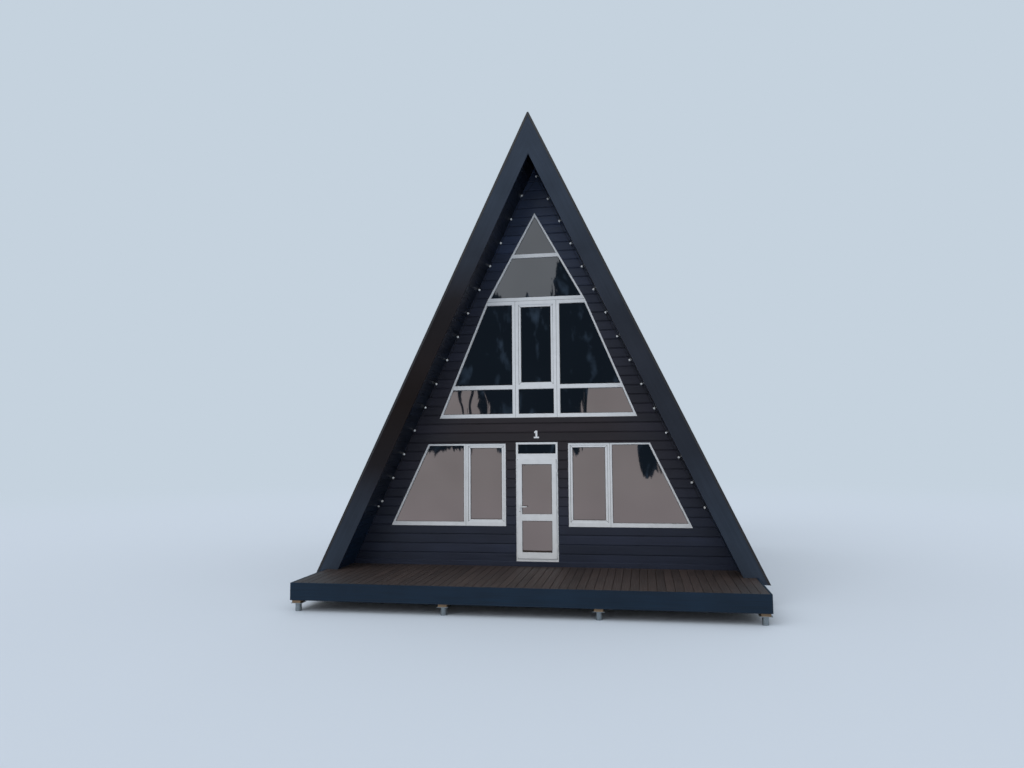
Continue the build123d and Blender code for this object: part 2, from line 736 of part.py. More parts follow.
def festoon_cable():
    """From the last lamp on the right over the apex to the plug on the left-hand soffit."""
    right_end = RIGHT_FIRST_LAMP + LAMP_STEP * (RIGHT_LAMPS - 1) + SOCKET_RADIUS
    left_end = LEFT_FIRST_LAMP + LAMP_STEP * (LEFT_LAMPS - 1) + CABLE_TAIL
    top_distance = CABLE_TOP_FLAT / 2 / sin(RAKE)
    x0, z0 = cable_point(right_end, 1)
    x1, z1 = cable_point(top_distance, 1)
    x2, z2 = cable_point(left_end, -1)
    radii = [CABLE_TOP_BEND, CABLE_TOP_BEND, CABLE_BEND]
    print("cable bends, radius in mm:", radii)
    route = FilletPolyline(
        (x0, CABLE_Y, z0),
        (x1, CABLE_Y, z1),
        (-x1, CABLE_Y, z1),
        (x2, CABLE_Y, z2),
        (x2, CABLE_Y - CABLE_DROP, z2),
        radius=radii,
    )
    section = Plane(origin=route @ 0, z_dir=route % 0) * Circle(CABLE_RADIUS)
    return sweep(section, path=route), route


def lamp_turning(profile, x, z):
    """A lamp's many-sided solid through (y, radius) pairs, from the wall outwards."""
    rings = [front_plane(y) * Pos(x, z) * RegularPolygon(radius, LAMP_SIDES) for y, radius in profile]
    return loft(rings, ruled=True)


def bulb(x, z):
    """Neck, belly and rounded tip of one lamp, in front of its socket."""
    neck_y = -SOCKET_L - FIT
    belly_y = neck_y - BULB_NECK_L
    belly_end_y = belly_y - BULB_BELLY_L
    profile = [
        (neck_y, BULB_NECK_RADIUS),
        (belly_y, BULB_RADIUS),
        (belly_end_y, BULB_RADIUS),
        (belly_end_y - BULB_TIP_L, BULB_TIP_RADIUS),
    ]
    return lamp_turning(profile, x, z)


def socket(x, z):
    """A holder against the wall, slotted where the cable runs through it."""
    holder = lamp_turning([(-FIT, SOCKET_RADIUS), (-SOCKET_L, SOCKET_RADIUS)], x, z)
    slot = 2 * (CABLE_RADIUS + FIT)
    turn = -degrees(RAKE) if x > 0 else degrees(RAKE)
    return holder - Pos(x, CABLE_Y, z) * Rot(0, turn, 0) * Box(slot, slot, 4 * SOCKET_RADIUS)


def festoon_nodes():
    cable, route = festoon_cable()
    places = lamp_places()
    end = route @ 1
    plug = Pos(end.X, end.Y - PLUG_L / 2, end.Z) * Rot(90, 0, 0) * Cylinder(PLUG_RADIUS, PLUG_L)
    return {
        "festoon_cable": cable,
        "festoon_sockets": Compound([socket(x, z) for x, z in places]),
        "festoon_bulbs": Compound([bulb(x, z) for x, z in places]),
        "festoon_plug": plug,
    }


def all_nodes():
    side_rims, end_rims = rim_boards()
    nodes = {
        "piles": piles(),
        "bearers": bearers(),
        "cross_ties": cross_ties(),
        "rim_boards_sides": side_rims,
        "rim_boards_ends": end_rims,
        "deck_boards": deck_boards(),
        "ground_floor": ground_floor(),
        "upper_floor": upper_floor(),
        "door_handles": door_handles(),
        "house_number": house_number(),
    }
    nodes.update(roof_nodes())
    nodes.update(front_wall_nodes())
    nodes.update(back_wall_nodes())
    nodes.update(gable_window_nodes())
    nodes.update(lower_window_nodes())
    nodes.update(back_window_nodes())
    nodes.update(door_frame_nodes())
    nodes.update(door_leaf_nodes())
    nodes.update(hinge_nodes())
    nodes.update(festoon_nodes())
    return nodes


os.makedirs("parts", exist_ok=True)
for name, shape in all_nodes().items():
    export_step(Pos(0, ORIGIN_SHIFT, 0) * shape, f"parts/{name}.step")
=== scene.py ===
import json
from math import atan, cos, radians, sin

import bmesh
import bpy
import numpy as np
from bpy.props import FloatProperty, FloatVectorProperty, PointerProperty
from bpy.types import Operator, Panel, PropertyGroup
from mathutils import Matrix, Vector


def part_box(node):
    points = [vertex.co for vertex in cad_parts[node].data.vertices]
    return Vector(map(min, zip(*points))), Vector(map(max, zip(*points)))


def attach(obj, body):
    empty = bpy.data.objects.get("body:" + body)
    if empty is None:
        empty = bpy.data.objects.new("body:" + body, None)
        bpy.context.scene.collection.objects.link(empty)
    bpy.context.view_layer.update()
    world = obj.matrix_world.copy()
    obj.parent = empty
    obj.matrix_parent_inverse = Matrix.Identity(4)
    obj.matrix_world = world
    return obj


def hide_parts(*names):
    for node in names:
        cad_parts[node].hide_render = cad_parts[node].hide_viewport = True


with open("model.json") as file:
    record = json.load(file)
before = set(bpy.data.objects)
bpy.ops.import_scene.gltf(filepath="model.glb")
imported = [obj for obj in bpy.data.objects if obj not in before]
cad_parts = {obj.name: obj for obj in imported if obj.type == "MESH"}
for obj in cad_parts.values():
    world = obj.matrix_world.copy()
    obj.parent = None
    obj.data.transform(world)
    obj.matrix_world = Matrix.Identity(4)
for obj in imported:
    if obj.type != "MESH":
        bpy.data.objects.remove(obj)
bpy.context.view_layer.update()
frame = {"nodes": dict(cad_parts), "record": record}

bl_info = {
    "name": "A-frame cabin finishes",
    "version": (1, 0, 0),
    "blender": (4, 5, 0),
    "location": "View3D > Sidebar > Cabin",
    "description": "Boards, roof sheets, glazing, lights and finishes of an A-frame cabin",
    "category": "Object",
}


def low(node):
    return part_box(node)[0]


def high(node):
    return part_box(node)[1]


# Planes that the walls and the roof share, read from the frame
FIT = 0.0003
GABLE_LOW, GABLE_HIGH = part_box("front_gable_wall")
SLOPE = GABLE_HIGH.x / (GABLE_HIGH.z - GABLE_LOW.z)
RAKE = atan(SLOPE)
SIN, COS = sin(RAKE), cos(RAKE)
CEILING_APEX = GABLE_HIGH.z + FIT / SIN
WALL_APEX = GABLE_HIGH.z
FRONT_Y = GABLE_LOW.y
BACK_Y = high("back_wall").y
SILL_Z = low("front_wall_right").z
DECK_Z = high("deck_boards").z
RIGHT, LEFT = 1, -1
BACK, FRONT = 1, -1


def depth_at_foot(node):
    """How far outside the ceiling plane a roof layer's outer face lies, from its foot corner."""
    corner_low, corner_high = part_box(node)
    apex = corner_low.z + corner_high.x / SLOPE
    return (apex - CEILING_APEX) * SIN


def linear(code):
    """A colour written as sRGB hex, as the linear values that shaders take."""
    values = np.array([int(code[i:i + 2], 16) for i in (1, 3, 5)]) / 255
    curve = np.where(values <= 0.04045, values / 12.92, ((values + 0.055) / 1.055) ** 2.4)
    return tuple(curve.tolist())


def length(name, default, description):
    return FloatProperty(
        name=name, description=description, default=default, precision=4, unit="LENGTH", subtype="DISTANCE"
    )


def angle(name, degrees, description):
    return FloatProperty(
        name=name, description=description, default=radians(degrees), unit="ROTATION", subtype="ANGLE"
    )


def colour(name, code, description):
    return FloatVectorProperty(
        name=name, description=description, default=linear(code), size=3, min=0, max=1, subtype="COLOR"
    )


def level(name, default, description):
    return FloatProperty(name=name, description=description, default=default, min=0, subtype="FACTOR")


class CabinBoards(PropertyGroup):
    """Boards of the walls, the soffit and the terrace."""

    wall_pitch: length("Wall board cover", 0.1835, "Height that one wall board covers")
    wall_first: length("First wall joint", 0.15, "Height of the lowest joint over the sill")
    wall_t: length("Wall board thickness", 0.021, "Thickness of a wall board")
    groove: length("Joint height", 0.014, "Height of the open joint under a wall board")
    groove_d: length("Joint depth", 0.018, "Depth of the open joint behind the face")
    edge: length("Board edge", 0.008, "Chamfer along the edges of a wall board")
    soffit_pitch: length("Soffit board cover", 0.140, "Width that one soffit board covers")
    soffit_joint: length("Soffit joint", 0.004, "Depth of the V joint of soffit boards, half its width")
    deck_pitch: length("Deck board pitch", 0.1464, "Width of a deck board with its gap")
    deck_gap: length("Deck gap", 0.006, "Gap between deck boards")
    deck_edge: length("Deck edge", 0.004, "Chamfer along the upper edges of a deck board")


class CabinRoof(PropertyGroup):
    """Pressed steel roof sheets in the shape of tiles."""

    wave: length("Wave pitch", 0.1833, "Width of one wave across the slope")
    wave_h: length("Wave height", 0.014, "Height of a wave")
    row: length("Row length", 0.350, "Length of one row down the slope")
    step_h: length("Step height", 0.010, "Step from one row to the next")
    scallop: length("Scallop", 0.012, "How far a row's edge bows down on each wave")


class CabinDetails(PropertyGroup):
    """Gaskets, lights and small fittings."""

    glass_bite: length("Glass bite", 0.012, "How far a pane reaches into its frame")
    gasket_w: length("Gasket width", 0.005, "Width of a gasket that shows round a pane")
    gasket_h: length("Gasket height", 0.003, "How far a gasket stands in front of its pane")
    seam_d: length("Seam depth", 0.009, "Depth of the open joint between two coupled frames")
    # Partly painted shade: the sash seal is a real seal, drawn dark so that it also shows as the shade line
    # round a sash
    sash_seal_and_shade_w: length("Seal width", 0.005, "Width of the seal round a sash")
    # Partly painted shade: the seal is drawn out past the leaf so that it shows as the dark line of the
    # rebate's shade
    leaf_seal_and_shade: length("Leaf seal", 0.007, "How far the seal on the door frame shows round the leaf")
    cable_r: length("Cable radius", 0.0035, "Radius of the festoon cable")
    cable_sag: length("Cable sag", 0.030, "How far the cable hangs down between two lamps")
    socket_r: length("Socket radius", 0.014, "Radius of a lamp socket at its collar")
    bulb_r: length("Bulb radius", 0.0235, "Radius of a lamp bulb")


class CabinColours(PropertyGroup):
    """Colours of the finishes."""

    # Partly painted cool sky light: the blue in the blue-black that the wall keeps near the deck
    wall: colour("Wall stain", "#21283B", "Blue-black stain on the wall boards")
    # Painted light: the brown that the wall shows at mid height, where it is most lit
    wall_lit_tone: colour("Wall stain in the sun", "#231A1F", "Brown that the sun turns the wall stain to")
    # Painted cool sky light: the blue that the wall shows under the peak
    wall_peak_skylight: colour("Fresh wall stain", "#24314B", "Blue that the wall stain keeps under the peak")
    # Partly painted reflection: the slate stands partly for the cool sky that the boards mirror
    barge: colour("Barge stain", "#313A47", "Slate stain on the barge boards")
    # Painted shade: the black brown that the barge boards show at mid height, most on the left
    barge_painted_shade: colour("Worn barge stain", "#19110F", "Black-brown that wet wood shows on the barge boards")
    soffit: colour("Soffit stain", "#121926", "Satin stain on the soffit boards")
    # Painted cool shade: the navy that the soffit shows near the deck
    soffit_foot_shade: colour("Damp soffit stain", "#15273E", "Navy that the stain keeps at the soffit's foot")
    deck: colour("Deck stain", "#3B2F2B", "Stain on the terrace boards")
    rim: colour("Rim stain", "#122435", "Stain on the rim boards")
    roof: colour("Roof paint", "#211E20", "Paint of the roof sheets and trims")
    plastic: colour("Window plastic", "#D8DBDF", "White of the window and door frames")
    glass: colour("Toned glass", "#92827C", "Tint of the reflecting glass")
    pine: colour("Pine", "#B98F5F", "Planed pine of the floors and the inside")
    timber: colour("Sawn timber", "#7A6650", "Sawn timber under the deck")
    steel: colour("Galvanised steel", "#9AA0A3", "Zinc on the piles")
    rubber: colour("Rubber", "#111214", "Black rubber of gaskets and cable")
    lamp: colour("Lamp plastic", "#E9EBEC", "Opal plastic of the bulbs")
    metal_white: colour("White coat", "#DADDE0", "White powder coat of lever and hinges")


class CabinStage(PropertyGroup):
    """Floor, light and camera."""

    floor: colour("Floor", "#CDD8E5", "Pale studio floor")
    backdrop: colour("Backdrop", "#C5D2DE", "Pale backdrop seen behind the cabin")
    overhead: colour("Overhead card", "#A0BACC", "Pale card that glass and metal mirror from above")
    card: colour("Dark card", "#26384A", "Dark card that glass and metal mirror near eye level")
    sky: level("Sky light", 0.78, "Strength of the soft light from all sides")
    key: level("Key light", 0.9, "Strength of the soft key light")
    lens: FloatProperty(name="Lens", description="Focal length in mm", default=26.72, min=1)
    camera_at: FloatVectorProperty(
        name="Camera place",
        description="Where the camera stands",
        default=(2.079, -17.797, 2.832),
        subtype="TRANSLATION",
        unit="LENGTH",
    )
    yaw: angle("Yaw", 9.674, "Turn of the camera to the left of straight ahead")
    pitch: angle("Pitch", 4.786, "Upward tilt of the camera")
    roll: angle("Roll", -0.386, "Roll of the camera about its line of sight")


def loft(rings, closed=False):
    """Skins rings of points, an array of bodies x rings x points x 3, with quads from ring to
    ring. The two end rings are capped, or joined to each other where the path is closed."""
    bodies, count, corners = rings.shape[:3]
    ring = np.arange(count if closed else count - 1)[:, None]
    following = (ring + 1) % count
    i = np.arange(corners)[None, :]
    j = (i + 1) % corners
    quads = np.stack(
        [ring * corners + i, ring * corners + j, following * corners + j, following * corners + i], axis=-1
    ).reshape(-1, 4)
    start = (np.arange(bodies) * count * corners)[:, None, None]
    faces = (start + quads[None]).reshape(-1, 4).tolist()
    if not closed:
        first = np.arange(corners)[::-1]
        last = (count - 1) * corners + np.arange(corners)
        caps = np.stack([first, last])[None]
        faces += (start + caps).reshape(-1, corners).tolist()
    return rings.reshape(-1, 3), faces


def joined(parts):
    """Several (points, faces, number) parts as one, with each part's number on its points."""
    points, faces, numbers, start = [], [], [], 0
    for part_points, part_faces, number in parts:
        points.append(part_points)
        numbers.append(np.broadcast_to(number, len(part_points)))
        faces += [[corner + start for corner in face] for face in part_faces]
        start += len(part_points)
    return np.concatenate(points), faces, np.concatenate(numbers)


def piece(name, points, faces, slot, body="cabin", stands_for=(), board=None, smooth=False):
    """Makes a mesh piece in place, with its faces outward and the finish of its slot, and rides it
    on its body. board gives each point the number of the board that it belongs to."""
    mesh = bpy.data.meshes.new(name)
    mesh.from_pydata(points.tolist(), [], faces)
    if board is not None:
        mesh.attributes.new("board", "FLOAT", "POINT").data.foreach_set("value", board.astype(np.float32))
    shell = bmesh.new()
    shell.from_mesh(mesh)
    bmesh.ops.recalc_face_normals(shell, faces=shell.faces[:])
    shell.to_mesh(mesh)
    shell.free()
    if smooth:
        mesh.shade_smooth()
    else:
        mesh.shade_flat()
    made = bpy.data.objects.new(name, mesh)
    bpy.context.scene.collection.objects.link(made)
    mesh.materials.append(finish_of(slot))
    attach(made, body)
    if stands_for:
        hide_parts(*stands_for)
    return made


def add(tree, kind, inputs=(), **settings):
    """Adds a node: settings are its own values, inputs are (socket, value or output) pairs."""
    made = tree.nodes.new(kind)
    for name, value in settings.items():
        setattr(made, name, value)
    for socket, value in inputs:
        if isinstance(value, bpy.types.NodeSocket):
            tree.links.new(value, made.inputs[socket])
        else:
            made.inputs[socket].default_value = value
    return made


def rgba(values):
    return (values[0], values[1], values[2], 1)


def new_surface(name, roughness, metallic=0, specular=0.5):
    """A material with one Principled shader, and that shader's tree and node."""
    material = bpy.data.materials.new(name)
    material.use_nodes = True
    tree = material.node_tree
    shader = next(node for node in tree.nodes if node.type == "BSDF_PRINCIPLED")
    shader.inputs["Roughness"].default_value = roughness
    shader.inputs["Metallic"].default_value = metallic
    shader.inputs["Specular IOR Level"].default_value = specular
    return material, tree, shader


def place(tree):
    """Object coordinates, moved on by each board's own number so that no two boards match."""
    coordinates = add(tree, "ShaderNodeTexCoord").outputs["Object"]
    number = add(tree, "ShaderNodeAttribute", attribute_name="board").outputs["Fac"]
    shift = add(tree, "ShaderNodeVectorMath", [(0, number), (1, (7.0, 13.0, 5.0))], operation="MULTIPLY")
    moved = add(tree, "ShaderNodeVectorMath", [(0, coordinates), (1, shift.outputs[0])])
    return moved.outputs[0], number


def object_axes(tree):
    """Object coordinates taken apart: the outputs X, Y and Z."""
    coordinates = add(tree, "ShaderNodeTexCoord").outputs["Object"]
    return add(tree, "ShaderNodeSeparateXYZ", [(0, coordinates)]).outputs


def slope_place(tree):
    """Object coordinates turned so that x runs down either slope and z stands out from it."""
    at = object_axes(tree)
    side = add(tree, "ShaderNodeMath", [(0, at["X"])], operation="ABSOLUTE")
    both = add(tree, "ShaderNodeCombineXYZ", [(0, side.outputs[0]), (1, at["Y"]), (2, at["Z"])])
    laid = add(
        tree, "ShaderNodeMapping", [("Vector", both.outputs[0]), ("Rotation", (0, RAKE - radians(90), 0))]
    )
    return laid.outputs[0]


def patches(tree, vector, size, detail=3.0):
    """Random soft patches as long along x, y and z as the three sizes, in millimetres."""
    mapped = add(tree, "ShaderNodeMapping", [("Vector", vector), ("Scale", [1000 / mm for mm in size])])
    return add(
        tree, "ShaderNodeTexNoise", [("Vector", mapped.outputs[0]), ("Scale", 1.0), ("Detail", detail)]
    ).outputs["Fac"]


def round_patches(tree, mm, detail):
    """Random soft patches on Object coordinates, as long every way, in millimetres."""
    return patches(tree, add(tree, "ShaderNodeTexCoord").outputs["Object"], (mm, mm, mm), detail)


def follow(tree, shader, pattern, span, tones, gloss, relief=0):
    """Lets a surface follow a pattern: while the pattern rises through span, the colour goes from
    the first tone to the second, and the roughness from the first value to the second. The pattern
    stands up by relief, in metres. Gives back the colour."""
    share = add(
        tree, "ShaderNodeMapRange", [("Value", pattern), ("From Min", span[0]), ("From Max", span[1])]
    ).outputs["Result"]
    tone = add(tree, "ShaderNodeMix", [(0, share), (6, tones[0]), (7, tones[1])], data_type="RGBA").outputs[2]
    dull = add(tree, "ShaderNodeMapRange", [("Value", share), ("To Min", gloss[0]), ("To Max", gloss[1])])
    tree.links.new(tone, shader.inputs["Base Color"])
    tree.links.new(dull.outputs["Result"], shader.inputs["Roughness"])
    if relief:
        raised = add(tree, "ShaderNodeBump", [("Height", pattern), ("Distance", relief), ("Strength", 1.0)])
        tree.links.new(raised.outputs[0], shader.inputs["Normal"])
    return tone


def shade(values, factor):
    return rgba([min(1.0, value * factor) for value in values])


# Wood: the size of its patches of wear in millimetres, the tones they give it, and those of boards
WORN_MM = 750
WORN_TONES = (0.9, 1.12)
BOARD_TONES = (0.84, 1.16)


def grained(tree, shader, vector, number, values, size, gloss, contrast, relief=0.0005):
    """Wood: grain drawn out along the board, over patches of wear, and a tone of its own for each
    numbered board."""
    grain = patches(tree, vector, size, 5.0)
    tones = shade(values, 1 - contrast), shade(values, 1 + contrast)
    tone = follow(tree, shader, grain, (0.3, 0.7), tones, gloss, relief)
    wear_and_painted_tone = add(
        tree, "ShaderNodeMapRange",
        [
            ("Value", patches(tree, vector, (WORN_MM, WORN_MM, WORN_MM), 2.0)),
            ("From Min", 0.35), ("From Max", 0.7), ("To Min", WORN_TONES[0]), ("To Max", WORN_TONES[1]),
        ],
    ).outputs["Result"]
    if number is not None:
        dark, pale = BOARD_TONES
        own = add(tree, "ShaderNodeMapRange", [("Value", number), ("To Min", dark), ("To Max", pale)])
        both = add(tree, "ShaderNodeMath", [(0, wear_and_painted_tone), (1, own.outputs["Result"])], operation="MULTIPLY")
        wear_and_painted_tone = both.outputs[0]
    shown = add(
        tree, "ShaderNodeMix", [(0, 1.0), (6, tone), (7, wear_and_painted_tone)], data_type="RGBA", blend_type="MULTIPLY"
    )
    tree.links.new(shown.outputs[2], shader.inputs["Base Color"])
    return shown.outputs[2]


def broken_line(tree, value, span, points, lift=0):
    """A broken line through (value, height) points, drawn as the greys of a ramp. The value runs
    through span, and lift is added to the heights, because no grey is less than black."""
    start, stop = span
    share = add(tree, "ShaderNodeMapRange", [("Value", value), ("From Min", start), ("From Max", stop)])
    line = add(tree, "ShaderNodeValToRGB", [(0, share.outputs[0])])
    stops = line.color_ramp.elements
    stops.remove(stops[1])
    for number, (at, height) in enumerate(points):
        position = (at - start) / (stop - start)
        point = stops[0] if number == 0 else stops.new(position)
        point.position = position
        point.color = (height + lift, height + lift, height + lift, 1)
    return line.outputs[0]


def tinted_by_painted_light(tree, shader, stained, share, base_and_peak_skylight, wear_and_painted_tone):
    """Turns a stain from its own colour to a tone of painted light and shade by a share: it is multiplied
    by that tone over its own colour, so its grain stays. Gives back the colour."""
    change = [late / early for late, early in zip(wear_and_painted_tone, base_and_peak_skylight)]
    by = add(tree, "ShaderNodeMix", [(0, share), (6, (1, 1, 1, 1)), (7, rgba(change))], data_type="RGBA")
    shown = add(
        tree, "ShaderNodeMix", [(0, 1.0), (6, stained), (7, by.outputs[2])],
        data_type="RGBA", blend_type="MULTIPLY",
    )
    tree.links.new(shown.outputs[2], shader.inputs["Base Color"])
    return shown.outputs[2]


# Shares of painted light and shade, by the height in metres: the wall brown as painted light at mid height
# and blue as painted sky light under the peak, the barge boards dark with painted shade at mid height, and
# the soffit navy with painted shade near the deck
STAIN_SPAN = (0, 8)
WALL_LIT_SHARE = ((0.8, 0.1), (1.3, 0.2), (2.3, 0.8), (2.9, 1.0), (3.6, 1.0), (5.0, 0.5), (6.8, 0.05))
WALL_PEAK_SKYLIGHT = ((5.5, 0.0), (7.2, 1.0))
BARGE_PAINTED_SHADE_LEFT = ((0.9, 0.05), (1.7, 0.3), (2.5, 0.87), (3.7, 1.0), (5.7, 0.85), (6.5, 0.35), (8.0, 0.0))
BARGE_PAINTED_SHADE_RIGHT = ((1.3, 0.05), (2.8, 0.45), (4.7, 0.5), (6.2, 0.33), (8.0, 0.0))
SOFFIT_FOOT_SHADE = ((0.9, 1.0), (1.5, 0.5), (2.2, 0.0))
# Beside the eaves the wall turns less brown, as painted shade: by this share up to the first distance in
# from them, in metres, and in full from the second
EAVES_SHADE_SHARE = 0.6
EAVES_SHADE_SPAN = (0.1, 1.1)


def wall_stain(colours):
    """Planed spruce boards under a thin dark glaze: the brush leaves long faint streaks, so a board
    is never one flat tone, and it shines weakly. The blue-black stain is turned brown at mid height as
    painted light, less so beside the eaves as painted shade; it stays blue-black near the deck and turns
    bluer under the peak as painted cool sky light. The real growth rings, 2 to 4 mm apart, are drawn 17 mm
    wide so that they show."""
    material, tree, shader = new_surface("glazed_spruce_boards", 0.5, specular=0.4)
    vector, number = place(tree)
    stained = grained(tree, shader, vector, number, colours.wall, (830, 17, 17), (0.38, 0.6), 0.16)
    at = object_axes(tree)
    # Painted light: the share of brown by height, greatest at mid height where the wall is most lit
    lit_share = broken_line(tree, at["Z"], STAIN_SPAN, WALL_LIT_SHARE)
    # Painted shade: beside the eaves the share of brown falls, leaving the darker blue-black
    eaves = add(
        tree, "ShaderNodeMath", [(0, at["Z"]), (1, -SLOPE), (2, WALL_APEX * SLOPE)], operation="MULTIPLY_ADD"
    )
    side = add(tree, "ShaderNodeMath", [(0, at["X"])], operation="ABSOLUTE")
    clear = add(tree, "ShaderNodeMath", [(0, eaves.outputs[0]), (1, side.outputs[0])], operation="SUBTRACT")
    start, stop = EAVES_SHADE_SPAN
    out = add(
        tree, "ShaderNodeMapRange",
        [("Value", clear.outputs[0]), ("From Min", start), ("From Max", stop), ("To Min", EAVES_SHADE_SHARE)],
    )
    share = add(tree, "ShaderNodeMath", [(0, lit_share), (1, out.outputs[0])], operation="MULTIPLY")
    lit_colour = tinted_by_painted_light(tree, shader, stained, share.outputs[0], colours.wall, colours.wall_lit_tone)
    # Painted cool sky light: the wall turns bluer under the peak
    base_and_peak_skylight = broken_line(tree, at["Z"], STAIN_SPAN, WALL_PEAK_SKYLIGHT)
    tinted_by_painted_light(tree, shader, lit_colour, base_and_peak_skylight, colours.wall, colours.wall_peak_skylight)
    return material


def soffit_stain(colours):
    """The same spruce with satin varnish over its glaze: it keeps its dark tone out of the rain and
    mirrors bright things softly. Near the deck it turns navy as painted cool shade. Its rings are drawn 17 mm
    wide so that they show."""
    material, tree, shader = new_surface("varnished_spruce_boards", 0.3, specular=0.43)
    vector, number = place(tree)
    stained = grained(tree, shader, vector, number, colours.soffit, (17, 830, 17), (0.26, 0.4), 0.15, 0.0003)
    # Painted cool shade: the soffit turns navy near the deck
    foot_shade = broken_line(tree, object_axes(tree)["Z"], STAIN_SPAN, SOFFIT_FOOT_SHADE)
    tinted_by_painted_light(tree, shader, stained, foot_shade, colours.soffit, colours.soffit_foot_shade)
    return material


def barge_stain(colours):
    """Wide planed barge boards that take the weather: their slate glaze has gone matt. At mid height, most
    on the left, it turns a black brown as painted shade, and the slate at the top and the foot is partly a
    painted reflection of the cool sky. The grain runs along the slope, drawn 20 mm wide so that it shows."""
    material, tree, shader = new_surface("glazed_barge_boards", 0.55, specular=0.1)
    stained = grained(tree, shader, slope_place(tree), None, colours.barge, (1000, 20, 20), (0.48, 0.62), 0.1)
    at = object_axes(tree)
    # Painted shade at mid height, most on the left; the slate at the top and the foot is a painted reflection
    # of the cool sky
    left = add(tree, "ShaderNodeMath", [(0, at["X"]), (1, 0.0)], operation="LESS_THAN")
    shade_right = broken_line(tree, at["Z"], STAIN_SPAN, BARGE_PAINTED_SHADE_RIGHT)
    shade_left = broken_line(tree, at["Z"], STAIN_SPAN, BARGE_PAINTED_SHADE_LEFT)
    share = add(tree, "ShaderNodeMix", [(0, left.outputs[0]), (2, shade_right), (3, shade_left)])
    tinted_by_painted_light(tree, shader, stained, share.outputs[0], colours.barge, colours.barge_painted_shade)
    return material


def rim_stain(colours):
    """Planed rim boards near the ground: their glaze has gone dull and cool, with level grain drawn
    17 mm high so that it shows."""
    material, tree, shader = new_surface("weathered_rim_boards", 0.5, specular=0.2)
    vector, _ = place(tree)
    grained(tree, shader, vector, None, colours.rim, (830, 830, 17), (0.45, 0.7), 0.2)
    return material


def deck_stain(colours):
    """Oiled softwood terrace boards, walked on: dull, with the grain raised by wear in streaks that run
    along the board, drawn 14 mm wide so that they show."""
    material, tree, shader = new_surface("oiled_terrace_boards", 0.6)
    vector, number = place(tree)
    grained(tree, shader, vector, number, colours.deck, (14, 670, 14), (0.5, 0.75), 0.25)
    return material


def planed_pine(colours):
    """Planed pine, varnished clear, for the floors and the linings: warm, with an even half gloss
    and rings 22 mm wide, as on flat-sawn boards."""
    material, tree, shader = new_surface("planed_pine", 0.5)
    vector, _ = place(tree)
    grained(tree, shader, vector, None, colours.pine, (670, 22, 22), (0.4, 0.55), 0.18)
    return material


def sawn_timber(colours):
    """Rough softwood as it leaves the saw: no gloss, and ridges of 11 mm that the blade leaves."""
    material, tree, shader = new_surface("sawn_softwood", 0.85)
    vector, _ = place(tree)
    grained(tree, shader, vector, None, colours.timber, (670, 670, 11), (0.8, 0.95), 0.3, 0.001)
    return material


def roof_paint(colours):
    """Coil-coated steel: polyester paint rolled on before pressing, so its satin sheen is even, and
    rain leaves thin dust in patches of 700 mm. Its grit of 0.3 mm is drawn 1.7 mm wide."""
    material, tree, shader = new_surface("coil_coated_steel", 0.42)
    dust = round_patches(tree, 700, 4.0)
    follow(tree, shader, dust, (0.4, 0.8), (rgba(colours.roof), shade(colours.roof, 1.25)), (0.38, 0.5))
    grit = round_patches(tree, 1.7, 2.0)
    raised = add(tree, "ShaderNodeBump", [("Height", grit), ("Distance", 0.0001), ("Strength", 0.5)])
    tree.links.new(raised.outputs[0], shader.inputs["Normal"])
    return material


def white_plastic(colours):
    """Extruded rigid PVC: the die leaves it smooth and half glossy, and weather adds a breath of
    grime in patches of 170 mm."""
    material, tree, shader = new_surface("extruded_pvc", 0.35)
    grime = round_patches(tree, 170, 4.0)
    tones = rgba(colours.plastic), shade(colours.plastic, 0.9)
    follow(tree, shader, grime, (0.45, 0.8), tones, (0.28, 0.42))
    return material


def toned_glass(colours):
    """Solar glass with a bronze metal film laid on it: it mirrors what is opposite in warm grey,
    and each sealed pane is bowed a very little over 900 mm, so straight lines waver in it."""
    material, tree, shader = new_surface("bronze_film_glass", 0.015, 1)
    bow = round_patches(tree, 900, 1.0)
    tones = shade(colours.glass, 0.95), shade(colours.glass, 1.05)
    follow(tree, shader, bow, (0.3, 0.7), tones, (0.01, 0.02), 0.003)
    return material


def galvanised_steel(colours):
    """Steel dipped in molten zinc, which cools to frost-like crystals, here about 12 mm across."""
    material, tree, shader = new_surface("hot_dip_zinc", 0.45, 1)
    coordinates = add(tree, "ShaderNodeTexCoord").outputs["Object"]
    crystals = add(tree, "ShaderNodeTexVoronoi", [("Vector", coordinates), ("Scale", 80.0)])
    shine = add(tree, "ShaderNodeSeparateColor", [(0, crystals.outputs["Color"])]).outputs[0]
    tones = shade(colours.steel, 0.8), shade(colours.steel, 1.1)
    follow(tree, shader, shine, (0, 1), tones, (0.35, 0.6))
    return material


def matt_rubber(colours):
    """Extruded rubber: near black and dull, with an 8 mm mottle of bloom on its skin."""
    material, tree, shader = new_surface("extruded_rubber", 0.7)
    bloom = round_patches(tree, 8, 2.0)
    follow(tree, shader, bloom, (0.4, 0.7), (rgba(colours.rubber), shade(colours.rubber, 1.7)), (0.62, 0.78))
    return material


def opal_plastic(colours):
    """Moulded opal plastic: smooth from the mould, bright and slightly glossy, with dust in spots
    of 17 mm."""
    material, tree, shader = new_surface("moulded_opal_plastic", 0.25)
    dust = round_patches(tree, 17, 2.0)
    follow(tree, shader, dust, (0.5, 0.8), (rgba(colours.lamp), shade(colours.lamp, 0.9)), (0.22, 0.4))
    return material


